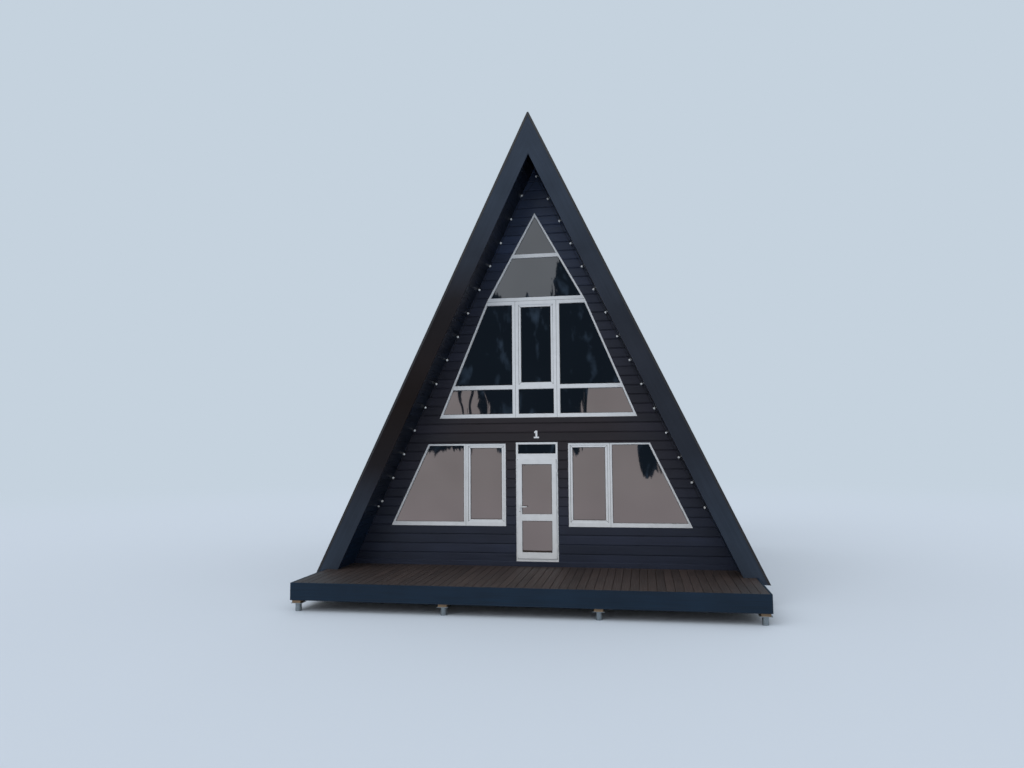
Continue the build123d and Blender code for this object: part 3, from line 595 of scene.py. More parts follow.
def powder_coat(colours):
    """Powder baked on to metal: an even white that flows into a fine orange peel, 2 mm across."""
    material, tree, shader = new_surface("white_powder_coat", 0.32)
    peel = round_patches(tree, 2, 1.0)
    tones = shade(colours.metal_white, 0.97), rgba(colours.metal_white)
    follow(tree, shader, peel, (0, 1), tones, (0.3, 0.36), 0.0001)
    return material


FINISHES = {
    "wall_boards": wall_stain,
    "soffit_stain": soffit_stain,
    "barge_stain": barge_stain,
    "rim_stain": rim_stain,
    "deck_stain": deck_stain,
    "floor_boards": planed_pine,
    "sawn_timber": sawn_timber,
    "roof_timber": sawn_timber,
    "roof_metal": roof_paint,
    "white_pvc": white_plastic,
    "toned_glass": toned_glass,
    "galvanised_steel": galvanised_steel,
    "black_rubber": matt_rubber,
    "lamp_plastic": opal_plastic,
    "white_metal": powder_coat,
}
_made = {}


def finish_of(slot):
    """The material of one of the record's slots, made the first time it is asked for."""
    maker = FINISHES[slot]
    if maker not in _made:
        _made[maker] = maker(bpy.context.scene.cabin_colours)
    return _made[maker]


def triangles_of(node):
    """The triangles of a CAD node, as an array of triangles x corners x 3."""
    mesh = frame["nodes"][node].data
    mesh.calc_loop_triangles()
    points = np.empty(len(mesh.vertices) * 3)
    corners = np.empty(len(mesh.loop_triangles) * 3, int)
    mesh.vertices.foreach_get("co", points)
    mesh.loop_triangles.foreach_get("vertices", corners)
    return points.reshape(-1, 3)[corners].reshape(-1, 3, 3)


def welded(node):
    """A CAD node with equal corners made one: its points, and its triangles as their numbers."""
    corners = triangles_of(node).reshape(-1, 3).round(5)
    points, numbers = np.unique(corners, axis=0, return_inverse=True)
    return points, numbers.reshape(-1, 3)


def solids_of(node):
    """Corner points of each loose solid of a CAD node, lowest first. Each corner takes the least
    number among the corners that its triangles reach, until no number changes."""
    points, triangles = welded(node)
    label, before = np.arange(len(points)), None
    while not np.array_equal(label, before):
        before = label.copy()
        np.minimum.at(label, triangles, label[triangles].min(axis=1, keepdims=True))
    solids = [points[label == number] for number in np.unique(label)]
    return sorted(solids, key=lambda solid: tuple(solid.min(axis=0)[[2, 0]].round(4)))


# How near two places lie that are taken as one, and the least stretch of board or sheet that is made
SAME = 0.0001
LEAST = 0.001
# The topmost wall board is cut off this far under the peak, and the base board is shorter by this
# at each end, with this number of its own
PEAK_CUT = 0.004
BASE_GAP = 0.001
BASE_NUMBER = 0.4


def outer_sides(nodes, face_y):
    """Upright and raking sides of a wall's outer face, as rows of x, z below and x, z above: the
    edges of its flat triangles that no second triangle shares."""
    triangles = np.concatenate([triangles_of(node) for node in nodes])
    flat = triangles[np.abs(triangles[:, :, 1] - face_y).max(axis=1) < SAME][:, :, [0, 2]]
    edges = np.stack([flat, np.roll(flat, -1, axis=1)], axis=2).reshape(-1, 2, 2).round(4)
    falling = edges[:, 0, 1] > edges[:, 1, 1]
    edges[falling] = edges[falling][:, ::-1]
    sides, times = np.unique(edges.reshape(-1, 4), axis=0, return_counts=True)
    return sides[(times == 1) & (sides[:, 3] - sides[:, 1] > LEAST)]


def across(side, z):
    """The x of a straight side at height z."""
    x0, z0, x1, z1 = side
    return x0 + (x1 - x0) * (z - z0) / (z1 - z0)


def wall_zones(nodes, face_y):
    """Parts of a wall's outer face between two heights and two sides, with none of its corners
    inside. Neighbours that meet along a side are taken as one, because boards run through there."""
    sides = outer_sides(nodes, face_y)
    levels = np.unique(sides[:, [1, 3]])
    zones = []
    for z_low, z_high in zip(levels[:-1], levels[1:]):
        middle = (z_low + z_high) / 2
        spanning = [side for side in sides if side[1] < middle < side[3]]
        spanning.sort(key=lambda side: across(side, middle))
        kept = spanning[:1]
        for first, second in zip(spanning[1:-1:2], spanning[2::2]):
            if across(second, middle) - across(first, middle) > LEAST:
                kept += [first, second]
        kept += spanning[-1:]
        top = min(z_high, WALL_APEX - PEAK_CUT)
        zones += [(z_low, top, start, end) for start, end in zip(kept[::2], kept[1::2])]
    return zones


def wall_profile(boards):
    """Front of one wall board from its bottom up: open joint, lower edge, face, upper edge."""
    joint, depth, edge = boards.groove, boards.groove_d, boards.edge
    heights = [0, joint, joint, joint + edge, boards.wall_pitch - edge, boards.wall_pitch]
    depths = [depth, depth, edge, 0, 0, edge]
    return np.array(heights), np.array(depths)


def board_part(boards, row_z, zone, outside, face_y):
    """The stretch of one board row inside a zone: its profile carried along x, its two ends cut
    along the zone's edges."""
    z_low, z_high, start, end = zone
    heights, depths = wall_profile(boards)
    bottom, top = max(z_low - row_z, 0), min(z_high - row_z, boards.wall_pitch)
    hair, nudge = 1e-6, 1e-5
    inside = (heights > bottom + hair) & (heights < top - hair)
    cut_low = np.interp(bottom + nudge, heights, depths)
    cut_high = np.interp(top - nudge, heights, depths)
    z = row_z + np.concatenate([[bottom], heights[inside], [top, top, bottom]])
    d = np.concatenate([[cut_low], depths[inside], [cut_high, boards.wall_t, boards.wall_t]])
    y = face_y - outside * d
    rings = np.stack([np.stack([across(side, z), y, z], axis=-1) for side in (start, end)])
    return loft(rings[None])


def clad(boards, zones, outside, face_y, seed):
    """All boards of a wall, each row and side with its own number."""
    draw = np.random.default_rng(seed)
    parts = []
    first = SILL_Z + boards.wall_first - boards.wall_pitch
    rows = int((WALL_APEX - first) / boards.wall_pitch) + 1
    tones = draw.random((rows, 2))
    for zone in zones:
        middle = (zone[0] + zone[1]) / 2
        side = int(across(zone[2], middle) >= 0)
        for row in range(rows):
            row_z = first + row * boards.wall_pitch
            if row_z + boards.wall_pitch > zone[0] + LEAST and row_z < zone[1] - LEAST:
                parts.append((*board_part(boards, row_z, zone, outside, face_y), tones[row, side]))
    return joined(parts)


def wall_core(name, nodes, outside, face_y, thickness):
    """The wall behind its boards: the CAD walls with their outer face moved in."""
    parts = []
    for node in nodes:
        points, triangles = welded(node)
        outer = np.abs(points[:, 1] - face_y) < thickness / 2
        points[outer, 1] = face_y - outside * thickness
        parts.append((points, triangles.tolist(), 0))
    points, faces, _ = joined(parts)
    piece(name, points, faces, "floor_boards")


class CABIN_OT_wall_boards(Operator):
    """Boards both gable walls, and moves the wall behind the boards in by their thickness"""

    bl_idname = "cabin.wall_boards"
    bl_label = "Wall boards"

    def execute(self, context):
        boards = context.scene.cabin_boards
        front = ("front_wall_left", "front_wall_right", "front_wall_over_door", "front_gable_wall")
        back = ("back_wall", "back_gable_wall")
        plans = (("front", front, FRONT, FRONT_Y, 11), ("back", back, BACK, BACK_Y, 12))
        for name, nodes, outside, face_y, seed in plans:
            points, faces, numbers = clad(boards, wall_zones(nodes, face_y), outside, face_y, seed)
            piece(f"{name}_wall_boards", points, faces, "wall_boards", stands_for=nodes, board=numbers)
            wall_core(f"{name}_wall_core", nodes, outside, face_y, boards.wall_t)
            self.base_board(name, outside, face_y, boards)
        return {"FINISHED"}

    def base_board(self, name, outside, face_y, boards):
        """A board over the edge of the floor, from the deck to just over the sill: its section,
        weathered at the top, is carried from slope to slope."""
        e = boards.edge
        z0, z1 = DECK_Z + FIT, SILL_Z + e
        z = np.array([z0, z1 - e, z1, z1, z0])
        y = face_y + outside * np.array([boards.wall_t, boards.wall_t, boards.wall_t - e, FIT, FIT])
        x = (WALL_APEX - z) * SLOPE - BASE_GAP
        rings = np.stack([np.stack([side * x, y, z], axis=-1) for side in (LEFT, RIGHT)])
        points, faces = loft(rings[None])
        numbers = np.full(len(points), BASE_NUMBER)
        piece(f"{name}_base_board", points, faces, "wall_boards", board=numbers)


def slope_points(side, s, y, d):
    """Points on a roof slope: s down the ceiling plane from its ridge, d out from that plane."""
    x = side * (s * SIN + d * COS)
    z = CEILING_APEX - s * COS + d * SIN
    return np.stack(np.broadcast_arrays(x, y, z), axis=-1)


def slope_start(d):
    """Where a plane at depth d meets the middle of the house."""
    return -d / SLOPE


def slope_end(d, z):
    """Where a plane at depth d comes down to height z."""
    return (CEILING_APEX + d * SIN - z) / COS


class CABIN_OT_soffit_boards(Operator):
    """Boards the ceiling planes from the front overhang to the back one"""

    bl_idname = "cabin.soffit_boards"
    bl_label = "Soffit boards"

    # A board's section is half a V joint, the face, the other half and the back, and it is carried
    # from front to back. The first board is cut off at the middle of the house, the last at the deck
    def execute(self, context):
        boards = context.scene.cabin_boards
        start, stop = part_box("soffit_lining_right")
        thickness = (stop.z - CEILING_APEX) * SIN
        v = boards.soffit_joint
        last = slope_end(0, DECK_Z)
        count = int(last / boards.soffit_pitch)
        edges = np.append(np.arange(count) * boards.soffit_pitch, last)
        upper, lower = edges[:-1], edges[1:]
        depths = np.array([v, 0, 0, v, thickness, thickness])
        along = np.stack([upper, upper + v, lower - v, lower, lower, upper], axis=1)
        along[0, [0, 5]] = slope_start(v), slope_start(thickness)
        along[-1, [3, 4]] = slope_end(v, DECK_Z), slope_end(thickness, DECK_Z)
        numbers = np.random.default_rng(21).random(2 * len(upper))
        for side, name in ((RIGHT, "right"), (LEFT, "left")):
            rings = np.stack([slope_points(side, along, y, depths) for y in (start.y, stop.y)], axis=1)
            points, faces = loft(rings)
            own = numbers[: len(upper)] if side == RIGHT else numbers[len(upper):]
            piece(
                f"soffit_boards_{name}", points, faces, "soffit_stain",
                stands_for=[f"soffit_lining_{name}"], board=np.repeat(own, len(points) // len(own)),
            )
        return {"FINISHED"}


class CABIN_OT_deck_boards(Operator):
    """Lays the terrace with boards that run from the house to the front rim"""

    bl_idname = "cabin.deck_boards"
    bl_label = "Deck boards"

    # A board's section is a rectangle with its two upper edges chamfered, carried along y
    def execute(self, context):
        boards = context.scene.cabin_boards
        parts = []
        draw = np.random.default_rng(31)
        for solid in solids_of("deck_boards"):
            (x0, y0, z0), (x1, y1, z1) = solid.min(axis=0), solid.max(axis=0)
            count = round((x1 - x0) / boards.deck_pitch)
            edges = np.linspace(x0, x1, count + 1)
            a, b, e = edges[:-1] + boards.deck_gap / 2, edges[1:] - boards.deck_gap / 2, boards.deck_edge
            x = np.stack([a, b, b, b - e, a + e, a], axis=1)
            z = np.broadcast_to([z0, z0, z1 - e, z1, z1, z1 - e], x.shape)
            rings = np.stack([np.stack([x, np.full_like(x, y), z], axis=-1) for y in (y0, y1)], axis=1)
            points, faces = loft(rings)
            parts.append((points, faces, np.repeat(draw.random(count), len(points) // count)))
        points, faces, numbers = joined(parts)
        piece("terrace_boards", points, faces, "deck_stain", stands_for=["deck_boards"], board=numbers)
        return {"FINISHED"}


# Roof sheets: how far they stop short of the ridge and of the covering's foot, points across a
# wave, shares of a row's length that have points, the share below which a point still belongs to
# the row above, and the power that broadens the crests of the waves
RIDGE_GAP, FOOT_GAP = 0.02, 0.0005
WAVE_STEPS = 8
ROW_STOPS = (0.0, 0.012, 0.35, 0.7)
STEP_EDGE = 0.006
CREST_POWER = 0.8


class CABIN_OT_roof_sheets(Operator):
    """Covers both slopes with pressed steel sheets"""

    bl_idname = "cabin.roof_sheets"
    bl_label = "Roof sheets"

    # A sheet's height over the slope is a step that rises evenly down each row and falls back at
    # its edge, plus waves across: half of one less the cosine, raised to a power. It is scaled to
    # fill the covering. The rows bow down by the scallop where a wave stands up, and less and less
    # in the last row
    def execute(self, context):
        roof = context.scene.cabin_roof
        bottom_d, top_d = depth_at_foot("roof_slope_right") + FIT, depth_at_foot("roof_covering_right")
        start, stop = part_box("roof_covering_right")
        top, foot = slope_start(bottom_d) + RIDGE_GAP, slope_end(bottom_d, start.z)
        waves = round((stop.y - start.y) / roof.wave)
        y = np.linspace(start.y, stop.y, waves * WAVE_STEPS + 1)
        phase = (y - start.y) / (stop.y - start.y) * waves * 2 * np.pi
        bow = (1 - np.cos(phase)) / 2
        rows = int((foot - top) / roof.row) + 1
        share = np.array(ROW_STOPS)
        s = (foot - (np.arange(rows, -1, -1)[:, None] - share[None]) * roof.row).ravel()
        s = np.concatenate([[top], s[(s > top + LEAST) & (s < foot - LEAST)], [foot - FOOT_GAP]])
        local = ((s - foot) / roof.row) % 1.0
        step = np.where(local < STEP_EDGE, 1.0, local)
        height = roof.step_h * step[None, :] + roof.wave_h * bow[:, None] ** CREST_POWER
        height *= (top_d - bottom_d - FIT) / (roof.step_h + roof.wave_h)
        scallop = roof.scallop * bow[:, None] * np.clip((foot - s) / roof.row, 0, 1)[None, :]
        down = s[None, :] + scallop
        ring_s = np.concatenate([down, np.full((len(y), 1), s[-1]), np.full((len(y), 1), s[0])], axis=1)
        ring_d = bottom_d + np.concatenate([height, np.zeros((len(y), 2))], axis=1)
        for side, name in ((RIGHT, "right"), (LEFT, "left")):
            rings = slope_points(side, ring_s, y[:, None], ring_d)
            points, faces = loft(rings[None])
            sheet = piece(
                f"roof_sheets_{name}", points, faces, "roof_metal",
                stands_for=[f"roof_covering_{name}"], smooth=True,
            )
            sheet.data.set_sharp_from_angle(angle=radians(40))
        return {"FINISHED"}


def hull(points):
    """Corners of a convex flat outline, in turn, from the (x, z) of a prism's corners."""
    flat = np.unique(points[:, [0, 2]].round(5), axis=0)
    middle = flat.mean(axis=0)
    turn = np.arctan2(flat[:, 1] - middle[1], flat[:, 0] - middle[0])
    return flat[np.argsort(turn)]


def unit(vectors):
    """Vectors made one long."""
    return vectors / np.linalg.norm(vectors, axis=1, keepdims=True)


def inset(outline, by):
    """A convex outline with each edge moved in: a corner goes in along its two edges' normals."""
    edge = unit(np.roll(outline, -1, axis=0) - outline)
    normal = np.stack([-edge[:, 1], edge[:, 0]], axis=1)
    before = np.roll(normal, 1, axis=0)
    share = 1 + (normal * before).sum(axis=1, keepdims=True)
    return outline + by * (normal + before) / share


def circles(axes, helper, sides):
    """Circles of radius one, square to axes that are one long, as axes x sides x 3: cosine and
    sine along two directions, of which the first is also square to the helper."""
    u = unit(np.cross(axes, helper))
    v = np.cross(axes, u)
    t = np.linspace(0, 2 * np.pi, sides, endpoint=False)[None, :, None]
    return np.cos(t) * u[:, None] + np.sin(t) * v[:, None]


def turned(profile, centres, axes, sides=16):
    """Round bodies: each (along, radius) pair is a circle about the axis, at that distance from
    the centre, and the circles are skinned in turn."""
    along, radius = np.array(profile).T
    axes = unit(np.array(axes))
    line = centres[:, None] + along[None, :, None] * axes[:, None]
    return line[:, :, None] + radius[None, :, None, None] * circles(axes, (0, 0, 1), sides)[:, None]


def tube(path, radius, sides=8):
    """A round section carried along a path of points, square to the path at each point."""
    ahead = unit(np.gradient(path, axis=0))
    return (path[:, None] + radius * circles(ahead, (0, 1, 0), sides))[None]


GLAZING = {
    "gable_window_glass": ("cabin", FRONT),
    "lower_window_glass_left": ("cabin", FRONT),
    "lower_window_glass_right": ("cabin", FRONT),
    "transom_glass": ("cabin", FRONT),
    "back_window_glass": ("cabin", BACK),
    "door_glass": ("front_door", FRONT),
    "door_lower_pane": ("front_door", FRONT),
}
SASHES = ("gable_window_sash", "lower_window_sash_left", "lower_window_sash_right")
COUPLED_FRAMES = ("gable_window_frame", "lower_window_frame_left", "lower_window_frame_right")
# Seals, which also paint the shade lines of the gaps round sashes and the leaf and in the seams: how far
# the one round a sash stands out, how far a seam's lies behind the faces of its frames, and how far outside
# the leaf the door frame's begins and how far that one stands out
SASH_SEAL_AND_SHADE_H = 0.001
SEAM_BACK = 0.0015
LEAF_GAP, LEAF_SEAL_AND_SHADE_H = 0.001, 0.0006
# How far the lock's face stands in front of the leaf, and its cap: distances out and radii
LOCK_OUT = 0.014
KEYHOLE_CAP = ((FIT, 0.0082), (0.0012, 0.0082), (0.0018, 0.007))


def rubber_ring(outline, outer_by, inner_by, face_y, front):
    """A ring of rubber round an outline, between two insets of it: flat at face_y, and sloping
    inward at the front."""
    outer, inner = inset(outline, outer_by), inset(outline, inner_by)
    corners = [(outer, front), (inner, (front + face_y) / 2), (inner, face_y), (outer, face_y)]
    rings = np.stack([np.insert(line, 1, y, axis=1) for line, y in corners], axis=1)
    return loft(rings[None], closed=True)


def plate_on(node, back, front):
    """A plate over all of a CAD node that lies flat at y = back, from there to y = front. Its rim
    runs along the edges that no second triangle shares."""
    triangles = triangles_of(node)
    flat = triangles[np.abs(triangles[:, :, 1] - back).max(axis=1) < SAME][:, :, [0, 2]]
    points, numbers = np.unique(flat.reshape(-1, 2).round(5), axis=0, return_inverse=True)
    corners = numbers.reshape(-1, 3)
    edges = np.stack([corners, np.roll(corners, -1, axis=1)], axis=2).reshape(-1, 2)
    _, first, times = np.unique(np.sort(edges, axis=1), axis=0, return_index=True, return_counts=True)
    a, b = edges[first[times == 1]].T
    count = len(points)
    sides = np.stack([a, b, b + count, a + count], axis=1)
    both = np.concatenate([np.insert(points, 1, back, axis=1), np.insert(points, 1, front, axis=1)])
    return both, corners.tolist() + (corners[:, ::-1] + count).tolist() + sides.tolist()


class CABIN_OT_gaskets(Operator):
    """Puts rubber round panes, sashes and the door leaf, between coupled frames and on the keyhole; round
    sashes and leaf it is partly, and between frames wholly, painted shade
    """

    bl_idname = "cabin.gaskets"
    bl_label = "Gaskets and seals"

    def execute(self, context):
        details = context.scene.cabin_details
        for node, (body, outside) in GLAZING.items():
            parts = []
            for pane in solids_of(node):
                face_y = pane[:, 1].min() if outside == FRONT else pane[:, 1].max()
                front = face_y + outside * details.gasket_h
                bite = details.glass_bite
                ring = rubber_ring(hull(pane), bite, bite + details.gasket_w, face_y, front)
                parts.append((*ring, 0.0))
            points, faces, _ = joined(parts)
            name = node.replace("glass", "gaskets").replace("pane", "gasket")
            piece(name, points, faces, "black_rubber", body)
        # Seals round sashes: real seals, which also paint the shade line between sash and frame
        for node in SASHES:
            face_y = low(node).y
            ring = rubber_ring(hull(solids_of(node)[0]), FIT, details.sash_seal_and_shade_w, face_y, face_y - SASH_SEAL_AND_SHADE_H)
            piece(node.replace("sash", "sash_seal_and_shade"), *ring, "black_rubber")
        # Painted shade: a black strip at the back of each seam between coupled frames, which darkens the seam
        # as its shade would
        for node in COUPLED_FRAMES:
            face_y = low(node).y
            plate = plate_on(node, face_y + details.seam_d, face_y + SEAM_BACK)
            piece(node.replace("frame", "seam_painted_shade"), *plate, "black_rubber")
        self.door(details)
        return {"FINISHED"}

    def door(self, details):
        """A flat seal on the door frame, which shows round the leaf as a thin dark line: partly a seal and
        partly painted shade of the rebate. And a round cap over the keyhole."""
        leaf = solids_of("door_leaf")[0]
        face_y = low("door_frame").y
        ring = rubber_ring(hull(leaf), -details.leaf_seal_and_shade, -LEAF_GAP, face_y, face_y - LEAF_SEAL_AND_SHADE_H)
        piece("door_frame_seal_and_shade", *ring, "black_rubber")
        outside = min(solids_of("door_handles"), key=lambda solid: solid[:, 1].min())
        lock_y = leaf[:, 1].min() - LOCK_OUT
        lock = outside[np.abs(outside[:, 1] - lock_y) < 2 * SAME]
        centre = (lock.min(axis=0) + lock.max(axis=0)) / 2
        cap = turned(KEYHOLE_CAP, centre[None], [[0.0, -1.0, 0.0]])
        piece("keyhole_cap", *loft(cap), "black_rubber", "front_door")


# Festoon lights. A lamp points straight out, less a random tilt and a droop, and is measured from
# a place in front of the wall. Its profiles are distances along it with the radius there, which on
# the socket is a share of the socket's own. A bulb is a neck and then a ball: its centre, and the
# angles in degrees of its first and last circle with their number
LAMP_TILT, LAMP_DROOP, LAMP_OUT = 0.12, 0.1, 0.008
SOCKET = ((-0.006, 0.7), (0.0, 0.85), (0.016, 0.9), (0.018, 1.0), (0.027, 1.0), (0.029, 0.8))
BULB_NECK = ((0.024, 0.011), (0.029, 0.0115))
BULB_CENTRE, BULB_ARC = 0.052, (-62, 88, 12)
# The cable: the shares of its sag that spans have, points in a span, and how far the middle of its
# tail is moved. The plug's profile is measured from its middle, half its length from its back
SAG_SHARES, SPAN_STEPS = (0.6, 1.2), 10
TAIL_MOVE = (0, 0.02, -0.03)
PLUG_HALF = 0.026
PLUG = ((-PLUG_HALF, 0.006), (-0.02, 0.012), (-0.004, 0.018), (0.02, 0.018), (PLUG_HALF, 0.015))
PLUG_AXIS = (0.0, -1.0, -0.01)


class CABIN_OT_festoon(Operator):
    """Hangs the lights in the corner of the front wall and the soffit"""

    bl_idname = "cabin.festoon"
    bl_label = "Festoon lights"

    def execute(self, context):
        details = context.scene.cabin_details
        lamps = solids_of("festoon_sockets")
        centres = np.array([(lamp.min(axis=0) + lamp.max(axis=0)) / 2 for lamp in lamps])
        right = centres[centres[:, 0] > 0]
        left = centres[centres[:, 0] < 0][::-1]
        draw = np.random.default_rng(41)
        self.lamps(details, centres, draw)
        self.cable(details, np.concatenate([right, left]), draw)
        return {"FINISHED"}

    def lamps(self, details, centres, draw):
        """Sockets with a collar, and round bulbs on a short neck, each tilted a little."""
        tilt = draw.uniform(-1, 1, (len(centres), 2)) * LAMP_TILT
        axes = np.stack([tilt[:, 0], np.full(len(centres), -1.0), tilt[:, 1] - LAMP_DROOP], axis=1)
        base = centres.copy()
        base[:, 1] = FRONT_Y - LAMP_OUT
        socket = [(along, details.socket_r * share) for along, share in SOCKET]
        holder = piece(
            "festoon_holders", *loft(turned(socket, base, axes)), "black_rubber",
            stands_for=["festoon_sockets"], smooth=True,
        )
        holder.data.set_sharp_from_angle(angle=radians(35))
        ball = details.bulb_r
        arc = [radians(turn) for turn in np.linspace(*BULB_ARC)]
        globe = [*BULB_NECK, *((BULB_CENTRE + ball * sin(turn), ball * cos(turn)) for turn in arc)]
        piece(
            "festoon_globes", *loft(turned(globe, base, axes, 20)), "lamp_plastic",
            stands_for=["festoon_bulbs"], smooth=True,
        )

    def cable(self, details, stops, draw):
        """A cable that dips between its lamps and runs on to its plug: each span is a straight line
        less a parabola."""
        stops[:, 1] = FRONT_Y - details.cable_r - FIT
        sag = details.cable_sag * draw.uniform(*SAG_SHARES, len(stops) - 1)
        t = np.arange(SPAN_STEPS) / SPAN_STEPS
        spans = stops[:-1, None] + t[None, :, None] * (stops[1:] - stops[:-1])[:, None]
        dip = 4 * t * (1 - t)
        spans[:, :, 2] -= sag[:, None] * dip
        end_low, end_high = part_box("festoon_plug")
        end = np.array([(end_low.x + end_high.x) / 2, end_high.y, (end_low.z + end_high.z) / 2])
        tail = np.array([stops[-1], (stops[-1] + end) / 2 + TAIL_MOVE, end])
        path = np.concatenate([spans.reshape(-1, 3), tail])
        piece(
            "festoon_lead", *loft(tube(path, details.cable_r)), "black_rubber",
            stands_for=["festoon_cable"], smooth=True,
        )
        plug = turned(PLUG, end[None] - (0, PLUG_HALF, 0), [PLUG_AXIS])
        piece("festoon_end_plug", *loft(plug), "lamp_plastic", stands_for=["festoon_plug"], smooth=True)


class CABIN_OT_finishes(Operator):
    """Gives every CAD node that still shows the material of its slot"""

    bl_idname = "cabin.finishes"
    bl_label = "Finishes"

    def execute(self, context):
        slots = {part["node"]: part["material_slot"] for part in frame["record"]["subparts"]}
        for name, shown in frame["nodes"].items():
            shown.data.materials.clear()
            shown.data.materials.append(finish_of(slots[name]))
        return {"FINISHED"}


# The dark card that glass mirrors: bearings are x of the line of sight and heights are its z
CARD_SPAN, CARD_LIFT = (-0.4, 0.1), 0.1
CARD_FOOT = (
    (-0.4, -0.006), (-0.225, -0.006), (-0.215, 0.008), (-0.19, 0.008), (-0.184, -0.004), (-0.168, -0.006),
    (-0.164, -0.02), (-0.104, -0.02), (-0.098, 0.004), (-0.09, 0.0), (-0.087, -0.013), (-0.082, -0.008),
    (-0.074, 0.004), (-0.07, 0.01), (-0.0075, 0.01), (-0.0064, 0.0), (0.0, -0.03), (0.0025, -0.039),
    (0.02, -0.036), (0.0225, -0.034), (0.024, 0.01), (0.1, 0.01),
)
CARD_GAP = (
    (-0.4, 0.076), (-0.2335, 0.076), (-0.2327, 0.03), (-0.2303, 0.03), (-0.2295, 0.076), (-0.2213, 0.076),
    (-0.2205, 0.0), (-0.2181, 0.0), (-0.2173, 0.076), (-0.2107, 0.076), (-0.21, 0.0), (-0.208, 0.0),
    (-0.2073, 0.076), (-0.205, 0.076), (-0.204, 0.0), (-0.0765, 0.0), (-0.0758, 0.076), (-0.0744, 0.076),
    (-0.0737, 0.0), (-0.0695, 0.0), (-0.0682, 0.076), (0.1, 0.076),
)
CARD_TOP = (
    (-0.4, 0.208), (-0.186, 0.206), (-0.172, 0.19), (-0.15, 0.188), (-0.1435, 0.2), (-0.137, 0.188),
    (-0.12, 0.188), (-0.112, 0.2), (-0.106, 0.225), (-0.1, 0.25), (-0.09, 0.27), (0.1, 0.27),
)
# Each edge with the height over which it is ragged. Then how far bearings waver, where the gaps
# start, where the card overhead takes over, where scuffs show, and how much paler they are
CARD_EDGES = ((CARD_FOOT, 0.012), (CARD_GAP, 0.002), (CARD_TOP, 0.016))
CARD_WAVER = 0.008
GAP_FLOOR = 0.02
OVERHEAD_SPAN = (0.07, 0.14)
SCUFF_SPAN, SCUFF_SHADE = (0.57, 0.8), 5
# The camera's sensor in millimetres and its reach, the floor's circles, their sides and where the
# floor fades, the tint of the soft light, and the key light's width and turn in degrees
SENSOR, REACH = 36, 500
FLOOR_CIRCLES, FLOOR_SIDES = (0.01, 12, 60), 96
FLOOR_FADE = (14.0, 50.0)
SKY_TINT = (0.97, 0.985, 1)
KEY_WIDTH, KEY_TURN = 50, (48, 0, -28)


def between(tree, value, bottom, top):
    """One where a value lies between two others, and nought elsewhere."""
    over = add(tree, "ShaderNodeMath", [(0, value), (1, bottom)], operation="GREATER_THAN").outputs[0]
    under = add(tree, "ShaderNodeMath", [(0, value), (1, top)], operation="LESS_THAN").outputs[0]
    return add(tree, "ShaderNodeMath", [(0, under), (1, over)], operation="MULTIPLY").outputs[0]


def either_ray(tree, first, second):
    """One for rays of two kinds, and nought for all others."""
    path = add(tree, "ShaderNodeLightPath").outputs
    return add(tree, "ShaderNodeMath", [(0, path[first]), (1, path[second])], operation="MAXIMUM").outputs[0]


